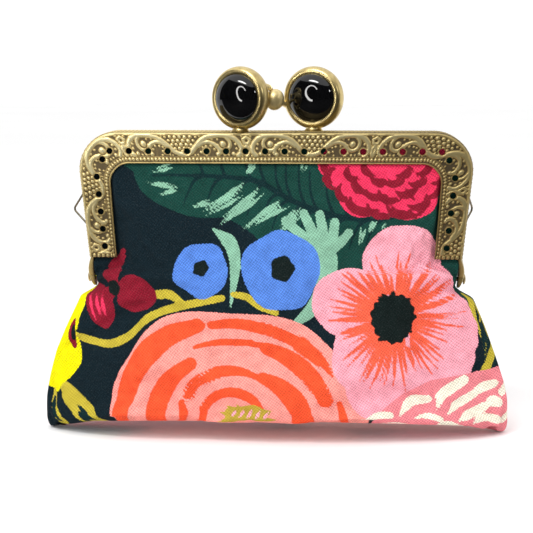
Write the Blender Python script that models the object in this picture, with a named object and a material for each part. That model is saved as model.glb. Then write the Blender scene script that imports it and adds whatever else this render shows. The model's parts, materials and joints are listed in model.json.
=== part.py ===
"""Kiss-lock coin purse: two embossed frame halves on a common hinge, sewn pouch, ball clasp.

Units are metres. +X runs along the frame, -Y is the front, +Z is up, and the origin is the
middle of the pouch's flat base. Each frame half turns about the rivets that lie on HINGE_Z.
"""

import math

import bmesh
import bpy
import numpy as np
from mathutils import Vector

MM = 0.001

# Frame: a 105 mm stamped channel, one for each half
HINGE_Z = 42.0 * MM
FRAME_TOP_Z = 81.5 * MM
HINGE_HALF_WIDTH = 49.3 * MM  # outer wall, at the height of the hinge
ARM_LEAN = math.radians(5.9)
ARM_FOOT_Z = 48.0 * MM
CORNER_RADIUS = 10.0 * MM
INNER_CORNER_RADIUS = 4.8 * MM
FACE_WIDTH = 8.2 * MM
BACK_WIDTH = 4.5 * MM
SHEET = 0.6 * MM
HALF_DEPTH = 5.3 * MM
HALF_GAP = 0.15 * MM  # from the middle plane to either half
CORNER_STEPS = 6

# Thread holes in the face of the channel
HOLE_RADIUS = 0.85 * MM
HOLE_SIDES = 8
TOP_HOLES = 18
TOP_HOLE_PITCH = 5.2 * MM
TOP_HOLE_INSET = 4.9 * MM
ARM_HOLES = 6
ARM_HOLE_PITCH = 4.7 * MM
ARM_HOLE_INSET = 4.4 * MM
ARM_FIRST_HOLE_Z = 51.0 * MM

# Hinge ears and rivets
EAR_RADIUS = 2.4 * MM
EAR_TOP_Z = 51.0 * MM
FRONT_EAR_X = 48.05 * MM
REAR_EAR_X = 48.95 * MM
RIVET_HOLE_RADIUS = 0.9 * MM
RIVET_RADIUS = 0.6 * MM
RIVET_HEAD_RADIUS = 1.5 * MM
RIVET_TAIL_RADIUS = 1.2 * MM
EAR_CURVE_START, EAR_CURVE_END = math.radians(50), math.radians(-200)

# Ball clasp
LEFT_KNOB_X = -9.3 * MM
RIGHT_KNOB_X = 10.1 * MM
KNOB_Y = 2.8 * MM  # forward on the front half, back on the rear half
KNOB_Z = 90.6 * MM
KNOB_RADIUS = 8.4 * MM
SHOULDER_RADIUS = 8.0 * MM
SHOULDER_HALF_WIDTH = 1.4 * MM
RIM_RADIUS = 7.0 * MM
RIM_HALF_WIDTH = 2.4 * MM
SEAT_RADIUS = 6.75 * MM
SEAT_DEPTH = 1.5 * MM
BORE_RADIUS = 4.9 * MM
CABOCHON_RADIUS = 6.5 * MM
CABOCHON_RISE = 3.4 * MM
LEFT_YAW = math.radians(28)
RIGHT_YAW = math.radians(21)
FOOT_PROFILE = ((0.0, 2.6 * MM), (0.3 * MM, 2.6 * MM), (0.5 * MM, 2.1 * MM), (1.8 * MM, 1.9 * MM))
NECK_RADIUS = 0.5 * MM
LEFT_BEAD_RADIUS = 1.6 * MM
LEFT_NECK_START = (-1.6 * MM, -3.0 * MM, 93.4 * MM)
LEFT_BEAD = (-0.4 * MM, 3.0 * MM, 91.7 * MM)
RIGHT_BEAD_RADIUS = 2.05 * MM
RIGHT_NECK_START = (1.3 * MM, 3.2 * MM, 89.2 * MM)
RIGHT_BEAD = (0.1 * MM, -1.0 * MM, 90.3 * MM)

# Strap rings on the rear half
RING_Z = 60.0 * MM
RING_INSET = 1.3 * MM  # from the frame's outer edge to the pin line
RING_STANDOFF = 1.5 * MM  # from the rear face to the pin line
RING_HALF_HEIGHT = 5.6 * MM
RING_REACH = 6.2 * MM
RING_CORNER = 1.3 * MM
WIRE_RADIUS = 0.45 * MM
LUG_OUTER_RADIUS = 1.3 * MM
LUG_INNER_RADIUS = 0.75 * MM
LUG_HALF_HEIGHT = 1.7 * MM
LEFT_RING_SWING = math.radians(34)
RIGHT_RING_SWING = math.radians(61)

# Pouch
BASE_HALF_WIDTH = 63.6 * MM
BASE_HALF_DEPTH = 16.8 * MM
BASE_ROUNDING = 4.0 * MM
NECK_TAPER = 11.0 * MM  # how much narrower the pouch is just below the hinge
TAPER_HEIGHT = 38.0 * MM
TAPER_POWER = 1.45
FLARE_TOP_Z, HELD_Z = 36.5 * MM, 40.5 * MM  # between them the side edge runs in under the ears
SEAM_TOP_Z, CHANNEL_FOOT_Z = 39.0 * MM, 45.0 * MM  # between them the side edge moves to the channel
FREE_Z, WINDOW_Z = 42.5 * MM, 46.5 * MM  # between them the face starts to hold the panel's sides
LOOSE_Z, PRESSED_Z = 38.0 * MM, 48.0 * MM
SWELL_SPAN = 2.0 * MM
BELLY_FALL, BELLY_POWER = 2.2, 0.8
SIDE_POWER, HELD_SIDE_POWER, EDGE_POWER = 3.0, 5.0, 0.6
FREE_SHARE = 0.94
COLUMN_SHARES = (0.0, 0.4, 0.72, 0.92, 1.0)
WALL_ROWS = (78.6, 75.5, 73.1, 71.5, 68.0, 62.0, 55.0, 47.4, 44.5, 42.0, 40.0, 38.0, 36.0, 30.0, 21.0, 12.0)
POUCH_MIDDLE = (0.0, 0.0, 45.0 * MM)
PANEL_EDGE_INSET = 2.9 * MM  # from the frame's outer edge to the cloth's edge in the channel
PANEL_EDGE_Y = 4.65 * MM
SEAM_Y = 0.15 * MM
BASE_SEAM_SHORTENING = 3.0 * MM
CLOTH = 0.5 * MM
LAYER_GAP = 0.2 * MM
FLEECE = 1.2 * MM
PRESSED_FLEECE = 0.4 * MM
LINING = 0.4 * MM
CORD_RADIUS = 0.7 * MM
CORD_INSET = 1.9 * MM
CORD_Y = 1.65 * MM
CORD_FOOT_Z = 53.0 * MM
GAP = 0.3 * MM


def clear_scene():
    for found in list(bpy.data.objects):
        bpy.data.objects.remove(found, do_unlink=True)


def material(name, colour, roughness, metallic=0.0):
    made = bpy.data.materials.new(name)
    made.use_nodes = True
    shader = made.node_tree.nodes["Principled BSDF"]
    shader.inputs["Base Color"].default_value = (*colour, 1.0)
    shader.inputs["Roughness"].default_value = roughness
    shader.inputs["Metallic"].default_value = metallic
    return made


def add_object(name, mesh, finish, smooth_angle=None):
    """Links a mesh to the scene as a named sub-part with one material."""
    made = bpy.data.objects.new(name, mesh)
    mesh.materials.append(finish)
    if smooth_angle is not None:
        mesh.shade_smooth()
        mesh.set_sharp_from_angle(angle=smooth_angle)
    bpy.context.scene.collection.objects.link(made)
    return made


def mesh_from(name, points, faces):
    """A mesh from points and faces, with its faces turned outwards."""
    work = bmesh.new()
    corners = [work.verts.new(point) for point in points]
    for face in faces:
        work.faces.new([corners[index] for index in face])
    bmesh.ops.recalc_face_normals(work, faces=work.faces)
    mesh = bpy.data.meshes.new(name)
    work.to_mesh(mesh)
    work.free()
    return mesh


def loft(name, rings, closed=False):
    """A closed skin through rings of equal length, capped at both ends unless it closes on itself."""
    count = len(rings[0])
    points = [point for ring in rings for point in ring]
    faces = []
    spans = len(rings) if closed else len(rings) - 1
    for row in range(spans):
        here = row * count
        there = (row + 1) % len(rings) * count
        for step in range(count):
            after = (step + 1) % count
            faces.append((here + step, here + after, there + after, there + step))
    if not closed:
        faces.append(tuple(range(count)))
        faces.append(tuple(range(len(points) - count, len(points))))
    return mesh_from(name, points, faces)


def circle(centre, across, up, radius, sides):
    turns = [2 * math.pi * step / sides for step in range(sides)]
    return [centre + radius * (math.cos(turn) * across + math.sin(turn) * up) for turn in turns]


def turned(name, profile, origin, axis, sides, closed=False):
    """Turns a profile of (distance along the axis, radius) pairs about an axis."""
    axis = Vector(axis).normalized()
    across = axis.orthogonal().normalized()
    up = axis.cross(across)
    rings = [circle(Vector(origin) + along * axis, across, up, radius, sides) for along, radius in profile]
    return loft(name, rings, closed)


def tube(name, route, radius, sides, closed=False):
    """A round wire along a route of points, with its sections kept square to the route."""
    rings = []
    last = len(route) - 1
    for index, point in enumerate(route):
        before = route[index - 1] if index or closed else route[0]
        after = route[(index + 1) % len(route)] if index < last or closed else route[last]
        along = (after - before).normalized()
        side = along.cross(Vector((0, 1, 0)))
        if side.length < 0.1:
            side = along.cross(Vector((0, 0, 1)))
        side.normalize()
        rings.append(circle(point, side, along.cross(side), radius, sides))
    return loft(name, rings, closed)


def boolean(target, cutter_mesh, operation, name):
    """Adds an exact Boolean with a hidden cutter object."""
    cutter = bpy.data.objects.new(name, cutter_mesh)
    bpy.context.scene.collection.objects.link(cutter)
    cutter.hide_render = True
    cutter.display_type = "WIRE"
    step = target.modifiers.new(name, "BOOLEAN")
    step.operation = operation
    step.solver = "EXACT"
    step.object = cutter
    cutter.parent = target
    cutter.matrix_parent_inverse = target.matrix_basis.inverted()


# ---- frame outline ---------------------------------------------------------------------------


def corner_radius(inset):
    shrink = (CORNER_RADIUS - INNER_CORNER_RADIUS) / FACE_WIDTH
    return CORNER_RADIUS - inset * shrink


def arm_x(z, inset):
    """Where the arm's straight edge, moved in by inset, stands at a height."""
    rise = z - HINGE_Z - inset * math.sin(ARM_LEAN)
    return HINGE_HALF_WIDTH - inset * math.cos(ARM_LEAN) + rise * math.tan(ARM_LEAN)


def corner_centre(inset):
    top = FRAME_TOP_Z - inset
    radius = corner_radius(inset)
    back = radius * math.tan((math.pi / 2 + ARM_LEAN) / 2)
    return arm_x(top, inset) - back, top - radius


def rail(inset, foot_z=ARM_FOOT_Z, steps=CORNER_STEPS):
    """The frame's outline moved in by inset: up the left arm, over the top and down the right arm."""
    centre_x, centre_z = corner_centre(inset)
    radius = corner_radius(inset)
    sweep = math.pi / 2 + ARM_LEAN
    right = []
    for step in range(steps + 1):
        turn = math.pi / 2 - sweep * step / steps
        right.append((centre_x + radius * math.cos(turn), centre_z + radius * math.sin(turn)))
    right.append((arm_x(foot_z, inset), foot_z))
    left = [(-x, z) for x, z in reversed(right)]
    return left + right


def edge_x(z, inset):
    """Half width of the outline moved in by inset, at a height on the arm or its corner."""
    centre_x, centre_z = corner_centre(inset)
    radius = corner_radius(inset)
    lowest = centre_z - radius * math.sin(ARM_LEAN)
    if z <= lowest:
        return arm_x(z, inset)
    rise = min(z - centre_z, radius)
    return centre_x + math.sqrt(radius * radius - rise * rise)


# ---- frame halves ----------------------------------------------------------------------------


def channel_mesh(name, side):
    """The bent channel: wide pierced face, outer wall and narrow back, open towards the pouch."""
    outer_y = HALF_GAP + HALF_DEPTH
    section = [
        (0.0, outer_y),
        (FACE_WIDTH, outer_y),
        (FACE_WIDTH, outer_y - SHEET),
        (SHEET, outer_y - SHEET),
        (SHEET, HALF_GAP + SHEET),
        (BACK_WIDTH, HALF_GAP + SHEET),
        (BACK_WIDTH, HALF_GAP),
        (0.0, HALF_GAP),
    ]
    rails = [rail(inset) for inset, _ in section]
    rings = []
    for station in range(len(rails[0])):
        ring = []
        for (_, depth), outline in zip(section, rails):
            x, z = outline[station]
            ring.append(Vector((x, side * depth, z)))
        rings.append(ring)
    return loft(name, rings)


def ear_mesh(name, side, mirror, inner_x):
    """A flat ear that reaches from the arm's wall to the hinge, with its round end about the rivet."""
    wall_outer = HALF_GAP + HALF_DEPTH - GAP
    wall_inner = HALF_GAP + SHEET
    outline = [(side * wall_outer, EAR_TOP_Z), (side * wall_inner, EAR_TOP_Z)]
    outline.append((side * wall_inner, ARM_FOOT_Z - GAP))
    steps = 10
    for step in range(steps + 1):
        turn = EAR_CURVE_START + (EAR_CURVE_END - EAR_CURVE_START) * step / steps
        y = -side * EAR_RADIUS * math.cos(turn)
        outline.append((y, HINGE_Z + EAR_RADIUS * math.sin(turn)))
    outline.append((side * wall_outer, ARM_FOOT_Z + GAP))
    rings = [
        [Vector((mirror * x, y, z)) for y, z in outline]
        for x in (inner_x, inner_x + SHEET)
    ]
    return loft(name, rings)


def block_mesh(name, low, high):
    outline = ((low[0], low[1]), (high[0], low[1]), (high[0], high[1]), (low[0], high[1]))
    rings = [[Vector((x, y, z)) for x, y in outline] for z in (low[2], high[2])]
    return loft(name, rings)


def holes_mesh(name, side):
    """Every thread hole's cutter, as separate prisms in one mesh."""
    places = []
    first = -(TOP_HOLES - 1) / 2
    for number in range(TOP_HOLES):
        places.append(((first + number) * TOP_HOLE_PITCH, FRAME_TOP_Z - TOP_HOLE_INSET))
    for number in range(ARM_HOLES):
        z = ARM_FIRST_HOLE_Z + number * ARM_HOLE_PITCH * math.cos(ARM_LEAN)
        x = edge_x(z, ARM_HOLE_INSET)
        places.extend([(x, z), (-x, z)])
    face_y = side * (HALF_GAP + HALF_DEPTH)
    near, far = face_y + side * SHEET, face_y - side * 2 * SHEET
    points, faces = [], []
    for x, z in places:
        start = len(points)
        for y in (near, far):
            points += circle(Vector((x, y, z)), Vector((1, 0, 0)), Vector((0, 0, 1)), HOLE_RADIUS, HOLE_SIDES)
        for step in range(HOLE_SIDES):
            after = (step + 1) % HOLE_SIDES
            faces.append((start + step, start + after, start + HOLE_SIDES + after, start + HOLE_SIDES + step))
        faces.append(tuple(range(start, start + HOLE_SIDES)))
        faces.append(tuple(range(start + HOLE_SIDES, start + 2 * HOLE_SIDES)))
    return mesh_from(name, points, faces)


def frame_half(name, side, ear_x, finish):
    """One half of the frame; side is -1 for the front and 1 for the rear."""
    half = add_object(name, channel_mesh(name, side), finish, math.radians(30))
    for mirror, label in ((-1, "left"), (1, "right")):
        boolean(half, ear_mesh(name, side, mirror, ear_x), "UNION", f"{name}_{label}_ear_tool")
        span_x = sorted(mirror * x for x in (ear_x + SHEET / 4, arm_x(ARM_FOOT_Z, 0.0) - SHEET / 4))
        span_y = sorted(side * y for y in (HALF_GAP + SHEET + GAP, HALF_GAP + HALF_DEPTH - 2 * GAP))
        low = (span_x[0], span_y[0], ARM_FOOT_Z + 2 * GAP)
        high = (span_x[1], span_y[1], EAR_TOP_Z - GAP)
        boolean(half, block_mesh(name, low, high), "UNION", f"{name}_{label}_step_tool")
        profile = [(-2 * SHEET, RIVET_HOLE_RADIUS), (3 * SHEET, RIVET_HOLE_RADIUS)]
        hole = turned(name, profile, (mirror * ear_x, 0, HINGE_Z), (mirror, 0, 0), 12)
        boolean(half, hole, "DIFFERENCE", f"{name}_{label}_rivet_tool")
    boolean(half, holes_mesh(name, side), "DIFFERENCE", f"{name}_thread_hole_tool")
    return half


def hinge_rivet(name, mirror, finish):
    """A rivet through both ears: small head inside, domed head outside."""
    inner_x = FRONT_EAR_X - GAP
    outer_x = REAR_EAR_X + SHEET + GAP
    profile = [
        (inner_x - 0.4 * MM, 0.7 * RIVET_TAIL_RADIUS),
        (inner_x - 0.2 * MM, RIVET_TAIL_RADIUS),
        (inner_x, RIVET_TAIL_RADIUS),
        (inner_x, RIVET_RADIUS),
        (outer_x, RIVET_RADIUS),
        (outer_x, RIVET_HEAD_RADIUS),
        (outer_x + 0.4 * MM, 0.85 * RIVET_HEAD_RADIUS),
        (outer_x + 0.7 * MM, 0.45 * RIVET_HEAD_RADIUS),
    ]
    mesh = turned(name, profile, (0, 0, HINGE_Z), (mirror, 0, 0), 12)
    return add_object(name, mesh, finish, math.radians(40))


# ---- clasp -----------------------------------------------------------------------------------


def knob_facing(yaw):
    """The way a knob's front looks: mostly forward, turned a little to the left."""
    return Vector((-math.sin(yaw), -math.cos(yaw), 0))


def knob_bezel(name, centre, yaw, finish):
    """A barrel-shaped ring with a seat on each side and a short foot that stands on the frame."""
    profile = [
        (-RIM_HALF_WIDTH, RIM_RADIUS),
        (-SHOULDER_HALF_WIDTH, SHOULDER_RADIUS),
        (0.0, KNOB_RADIUS),
        (SHOULDER_HALF_WIDTH, SHOULDER_RADIUS),
        (RIM_HALF_WIDTH, RIM_RADIUS),
        (RIM_HALF_WIDTH, SEAT_RADIUS),
        (RIM_HALF_WIDTH - SEAT_DEPTH, SEAT_RADIUS),
        (RIM_HALF_WIDTH - SEAT_DEPTH, BORE_RADIUS),
        (SEAT_DEPTH - RIM_HALF_WIDTH, BORE_RADIUS),
        (SEAT_DEPTH - RIM_HALF_WIDTH, SEAT_RADIUS),
        (-RIM_HALF_WIDTH, SEAT_RADIUS),
    ]
    mesh = turned(name, profile, centre, knob_facing(yaw), 28, closed=True)
    knob = add_object(name, mesh, finish, math.radians(35))
    foot = turned(name, FOOT_PROFILE, (centre[0], centre[1], FRAME_TOP_Z + GAP), (0, 0, 1), 14)
    boolean(knob, foot, "UNION", f"{name}_foot_tool")
    return knob


def cabochon(name, centre, direction, finish):
    """A domed stone seated in one side of a bezel."""
    base = RIM_HALF_WIDTH - SEAT_DEPTH + LAYER_GAP
    profile = [(base, CABOCHON_RADIUS), (RIM_HALF_WIDTH, CABOCHON_RADIUS)]
    steps = 4
    for step in range(1, steps):
        turn = math.pi / 2 * step / steps
        height = RIM_HALF_WIDTH + CABOCHON_RISE * math.sin(turn)
        profile.append((height, CABOCHON_RADIUS * math.cos(turn)))
    profile.append((RIM_HALF_WIDTH + 0.985 * CABOCHON_RISE, 0.1 * CABOCHON_RADIUS))
    mesh = turned(name, profile, centre, direction, 20)
    return add_object(name, mesh, finish, math.radians(45))


def catch_bead(name, start, bead, radius, finish):
    """A round bead on a thin neck, turned about the line from the neck's start to the bead."""
    start, bead = Vector(start), Vector(bead)
    reach = (bead - start).length
    profile = [(0.0, 0.7 * NECK_RADIUS), (0.2 * MM, NECK_RADIUS)]
    first = math.pi - math.asin(NECK_RADIUS / radius)
    last = 0.12
    steps = 8
    for step in range(steps + 1):
        turn = first + (last - first) * step / steps
        profile.append((reach + radius * math.cos(turn), radius * math.sin(turn)))
    mesh = turned(name, profile, start, bead - start, 12)
    return add_object(name, mesh, finish, math.radians(40))


# ---- strap rings -----------------------------------------------------------------------------


def ring_axis(mirror):
    """The strap ring's pin line, which runs up behind the rear half's arm."""
    back = HALF_GAP + HALF_DEPTH + RING_STANDOFF
    middle = Vector((mirror * arm_x(RING_Z, RING_INSET), back, RING_Z))
    return middle, Vector((mirror * math.sin(ARM_LEAN), 0, math.cos(ARM_LEAN)))


def rounded_corner(before, corner, after, radius, steps):
    """Points of a round bend of a wire at a corner."""
    into = (before - corner).normalized()
    out = (after - corner).normalized()
    half = into.angle(out) / 2
    centre = corner + (into + out).normalized() * radius / math.sin(half)
    first = corner + into * radius / math.tan(half)
    last = corner + out * radius / math.tan(half)
    points = []
    for step in range(steps + 1):
        share = step / steps
        point = first.lerp(last, share) - centre
        points.append(centre + point.normalized() * radius)
    return points


def strap_ring(name, mirror, swing, finish):
    """A closed wire triangle whose straight side runs through its lug."""
    middle, axis = ring_axis(mirror)
    outward = Vector((mirror * math.cos(ARM_LEAN), 0, -math.sin(ARM_LEAN)))
    reach = outward * math.cos(swing) + Vector((0, 1, 0)) * math.sin(swing)
    low = -RING_HALF_HEIGHT * axis
    high = RING_HALF_HEIGHT * axis
    apex = RING_REACH * reach
    route = []
    for before, corner, after in ((apex, low, high), (low, high, apex), (high, apex, low)):
        route += rounded_corner(before, corner, after, RING_CORNER, 3)
    ring = add_object(name, tube(name, route, WIRE_RADIUS, 8, closed=True), finish, math.radians(50))
    ring.location = middle
    return ring


def ring_lug(name, mirror, finish):
    """The small barrel on the rear face that holds a strap ring."""
    middle, axis = ring_axis(mirror)
    profile = [
        (-LUG_HALF_HEIGHT, LUG_OUTER_RADIUS),
        (LUG_HALF_HEIGHT, LUG_OUTER_RADIUS),
        (LUG_HALF_HEIGHT, LUG_INNER_RADIUS),
        (-LUG_HALF_HEIGHT, LUG_INNER_RADIUS),
    ]
    mesh = turned(name, profile, middle, axis, 12, closed=True)
    return add_object(name, mesh, finish, math.radians(40))


# ---- pouch -----------------------------------------------------------------------------------


def ease(value, start, end):
    share = min(max((value - start) / (end - start), 0.0), 1.0)
    return share * share * (3 - 2 * share)


def panel_half_width(z):
    """Half width of the pouch: in the channel above, under the ears at the hinge, flared below."""
    flare = BASE_HALF_WIDTH - NECK_TAPER * (max(z, 0.0) / TAPER_HEIGHT) ** TAPER_POWER
    held = edge_x(z, PANEL_EDGE_INSET)
    share = ease(z, FLARE_TOP_Z, HELD_Z)
    return flare + (held - flare) * share


def held_share(z):
    """0 where the panel's side edge is in the side seam, 1 where it is in the channel."""
    return ease(z, SEAM_TOP_Z, CHANNEL_FOOT_Z)


def panel_edge_y(z):
    """How far the panel's side edge stands from the middle plane."""
    return SEAM_Y + (PANEL_EDGE_Y - SEAM_Y) * held_share(z)


def window_half_width(z):
    """Half width within which the panel is free to belly out."""
    inside = edge_x(z, FACE_WIDTH + GAP)
    share = ease(z, FREE_Z, WINDOW_Z)
    return panel_half_width(z) * (1 - share) + inside * share


def belly(z):
    """Depth of the panel at its middle."""
    window_top = FRAME_TOP_Z - FACE_WIDTH - GAP
    rise = min(max(z, 0.0) / window_top, 1.0)
    return PANEL_EDGE_Y + (BASE_HALF_DEPTH - PANEL_EDGE_Y) * (1 - rise**BELLY_FALL) ** BELLY_POWER


def panel_rows():
    """Rows from the channel at the top, down the wall, round the base edge and in to the base seam."""
    rows = []
    for height in WALL_ROWS:
        z = height * MM
        rows.append((z, panel_half_width(z), belly(z), panel_edge_y(z), window_half_width(z)))
    for turn in (0.0, math.pi / 4, math.pi / 2):
        drop = BASE_ROUNDING * (1 - math.cos(turn))
        z = BASE_ROUNDING * (1 - math.sin(turn))
        width = panel_half_width(BASE_ROUNDING) - drop
        rows.append((z, width, belly(BASE_ROUNDING) - drop, SEAM_Y, width))
    width = panel_half_width(BASE_ROUNDING) - BASE_ROUNDING - BASE_SEAM_SHORTENING
    rows.append((0.0, width, SEAM_Y, SEAM_Y, width))
    return rows


def panel_grid():
    """The front panel's outer surface as an array of rows by columns by xyz."""
    grid = []
    for z, half_width, depth, edge, window in panel_rows():
        free = min(window, FREE_SHARE * half_width)
        right = [free * share for share in COLUMN_SHARES]
        right += [(free + half_width) / 2, half_width]
        power = SIDE_POWER + (HELD_SIDE_POWER - SIDE_POWER) * held_share(z)
        line = []
        for x in [-value for value in right[:0:-1]] + right:
            swell = (1 - min(abs(x) / window, 1.0) ** power) ** EDGE_POWER
            line.append((x, -(edge + (depth - edge) * swell), z))
        grid.append(line)
    return np.array(grid)


def inward_normals(grid):
    """Unit normals that point into the pouch; those on a seam stay in the seam's plane."""
    normals = np.zeros_like(grid)
    diagonals = np.cross(grid[1:, 1:] - grid[:-1, :-1], grid[1:, :-1] - grid[:-1, 1:])
    for rows in (slice(None, -1), slice(1, None)):
        for columns in (slice(None, -1), slice(1, None)):
            normals[rows, columns] += diagonals
    inside = np.array(POUCH_MIDDLE) - grid
    normals *= np.sign(np.sum(normals * inside, axis=2, keepdims=True))
    for row in range(grid.shape[0]):
        free = held_share(grid[row, 0, 2])
        for column in (0, -1):
            normals[row, column, 1] *= free
    normals[-1, :, 1] = 0.0
    return normals / np.linalg.norm(normals, axis=2, keepdims=True)


def looseness(grid):
    """0 where the layers are pressed together in the channel, 1 where the fleece is full."""
    share = np.zeros(grid.shape[:2])
    for row in range(grid.shape[0]):
        for column in range(grid.shape[1]):
            y, z = grid[row, column, 1:]
            share[row, column] = ease(-y, PANEL_EDGE_Y, PANEL_EDGE_Y + SWELL_SPAN)
            if z < HINGE_Z:
                share[row, column] = max(share[row, column], ease(z, PRESSED_Z, LOOSE_Z))
    return share


def layer_mesh(name, side, inner_layer):
    """One layer of cloth: 0 is the outer cloth, 1 the fleece and 2 the lining."""
    grid = panel_grid()
    normals = inward_normals(grid)
    fleece = PRESSED_FLEECE + (FLEECE - PRESSED_FLEECE) * looseness(grid)
    under_cloth = np.full(fleece.shape, CLOTH + LAYER_GAP)
    spans = (
        (np.zeros(fleece.shape), np.full(fleece.shape, CLOTH)),
        (under_cloth, under_cloth + fleece),
        (under_cloth + fleece + LAYER_GAP, under_cloth + fleece + LAYER_GAP + LINING),
    )
    near, far = spans[inner_layer]
    skins = [grid + normals * near[..., None], grid + normals * far[..., None]]
    rows, columns = fleece.shape
    points = []
    for skin in skins:
        for x, y, z in skin.reshape(-1, 3):
            points.append((x, -side * y, z))
    faces = []
    count = rows * columns
    for start in (0, count):
        for row in range(rows - 1):
            for column in range(columns - 1):
                corner = start + row * columns + column
                faces.append((corner, corner + 1, corner + columns + 1, corner + columns))
    rim = list(range(columns))
    rim += [row * columns + columns - 1 for row in range(1, rows)]
    rim += [(rows - 1) * columns + column for column in range(columns - 2, -1, -1)]
    rim += [row * columns for row in range(rows - 2, 0, -1)]
    for here, there in zip(rim, rim[1:] + rim[:1]):
        faces.append((here, there, there + count, here + count))
    return mesh_from(name, points, faces)


def paper_cord(name, side, finish):
    """The cord pressed into the root of a channel behind the cloth."""
    route = [Vector((x, side * CORD_Y, z)) for x, z in rail(CORD_INSET, CORD_FOOT_Z, 5)]
    return add_object(name, tube(name, route, CORD_RADIUS, 8), finish, math.radians(50))


def build():
    clear_scene()
    brass = material("antique_brass", (0.42, 0.30, 0.13), 0.38, 1.0)
    polished = material("polished_brass", (0.50, 0.38, 0.18), 0.22, 1.0)
    resin = material("black_resin", (0.004, 0.004, 0.005), 0.06)
    print_cloth = material("floral_cotton", (0.05, 0.12, 0.12), 0.85)
    fleece = material("fleece", (0.85, 0.84, 0.80), 0.95)
    lining = material("lining_cotton", (0.62, 0.16, 0.26), 0.88)
    paper = material("paper_cord", (0.72, 0.60, 0.42), 0.9)

    frame_half("front_frame_half", -1, FRONT_EAR_X, brass)
    frame_half("rear_frame_half", 1, REAR_EAR_X, brass)
    hinge_rivet("left_hinge_rivet", -1, brass)
    hinge_rivet("right_hinge_rivet", 1, brass)

    knobs = (
        ("left", Vector((LEFT_KNOB_X, -KNOB_Y, KNOB_Z)), LEFT_YAW),
        ("right", Vector((RIGHT_KNOB_X, KNOB_Y, KNOB_Z)), RIGHT_YAW),
    )
    for label, centre, yaw in knobs:
        knob_bezel(f"{label}_knob_bezel", centre, yaw, polished)
        cabochon(f"{label}_front_cabochon", centre, knob_facing(yaw), resin)
        cabochon(f"{label}_rear_cabochon", centre, -knob_facing(yaw), resin)
    catch_bead("left_catch_bead", LEFT_NECK_START, LEFT_BEAD, LEFT_BEAD_RADIUS, polished)
    catch_bead("right_catch_bead", RIGHT_NECK_START, RIGHT_BEAD, RIGHT_BEAD_RADIUS, polished)

    strap_ring("left_strap_ring", -1, LEFT_RING_SWING, brass)
    strap_ring("right_strap_ring", 1, RIGHT_RING_SWING, brass)
    ring_lug("left_ring_lug", -1, brass)
    ring_lug("right_ring_lug", 1, brass)

    layers = (("outer", print_cloth), ("interlining", fleece), ("lining", lining))
    for depth, (label, finish) in enumerate(layers):
        for side, place in ((-1, "front"), (1, "rear")):
            name = f"{place}_{label}_panel"
            add_object(name, layer_mesh(name, side, depth), finish, math.radians(50))
    paper_cord("front_paper_cord", -1, paper)
    paper_cord("rear_paper_cord", 1, paper)


build()
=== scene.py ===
import json
import math

import bmesh
import bpy
import numpy as np
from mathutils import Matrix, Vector


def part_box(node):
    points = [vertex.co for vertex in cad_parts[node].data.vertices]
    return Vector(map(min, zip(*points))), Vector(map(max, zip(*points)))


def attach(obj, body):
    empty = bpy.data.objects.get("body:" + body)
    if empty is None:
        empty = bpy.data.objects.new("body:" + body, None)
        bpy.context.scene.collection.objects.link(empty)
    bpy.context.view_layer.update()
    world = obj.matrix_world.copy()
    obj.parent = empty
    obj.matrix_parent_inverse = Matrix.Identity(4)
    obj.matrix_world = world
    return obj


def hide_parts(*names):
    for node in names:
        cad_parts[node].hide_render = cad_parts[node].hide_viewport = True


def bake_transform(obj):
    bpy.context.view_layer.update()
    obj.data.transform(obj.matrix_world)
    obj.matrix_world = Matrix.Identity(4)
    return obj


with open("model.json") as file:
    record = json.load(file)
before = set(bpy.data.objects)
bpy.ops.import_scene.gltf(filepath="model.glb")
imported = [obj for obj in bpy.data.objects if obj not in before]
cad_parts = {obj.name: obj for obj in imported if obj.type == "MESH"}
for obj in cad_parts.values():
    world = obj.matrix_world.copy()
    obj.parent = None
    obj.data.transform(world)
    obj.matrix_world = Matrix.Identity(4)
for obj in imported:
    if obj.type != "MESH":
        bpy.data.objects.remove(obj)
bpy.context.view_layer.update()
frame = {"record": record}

MM = 0.001
JOINTS = {joint["name"]: joint for joint in frame["record"]["behaviour"]["joints"]}
HINGE_Z = JOINTS["front_frame_hinge"]["pos_m"][2]
HALF_LOW, HALF_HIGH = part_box("front_frame_half")

# Stamped frame
FRAME_TOP = HALF_HIGH[2]
FACE_Y = -HALF_LOW[1]
BACK_Y = 0.15 * MM
ARM_LEAN = math.radians(5.9)
HINGE_HALF_WIDTH = 49.3 * MM
ARM_FOOT = 48.0 * MM
FACE_WIDTH = 8.2 * MM
BACK_WIDTH = 4.5 * MM
SHEET = 0.6 * MM
CORNER_RADIUS = 10.0 * MM
INNER_CORNER_RADIUS = 4.8 * MM
ROPE_PITCH, ROPE_DEPTH = 1.05 * MM, 0.3 * MM  # the rope pattern on the outer wall
HOLE_LINE = 4.7 * MM
WINDOW_INSET = FACE_WIDTH + 0.3 * MM  # where the cloth comes free of the frame
ARM_NARROWING = 0.9 * MM  # how much narrower the stamped face gets by the arm's foot
HOLE_RADIUS = 0.85 * MM
TOP_HOLES, TOP_PITCH, TOP_HOLE_INSET = 18, 5.2 * MM, 4.9 * MM
ARM_HOLES, ARM_PITCH, ARM_HOLE_INSET, ARM_FIRST_HOLE = 6, 4.675 * MM, 4.4 * MM, 51.0 * MM

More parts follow.
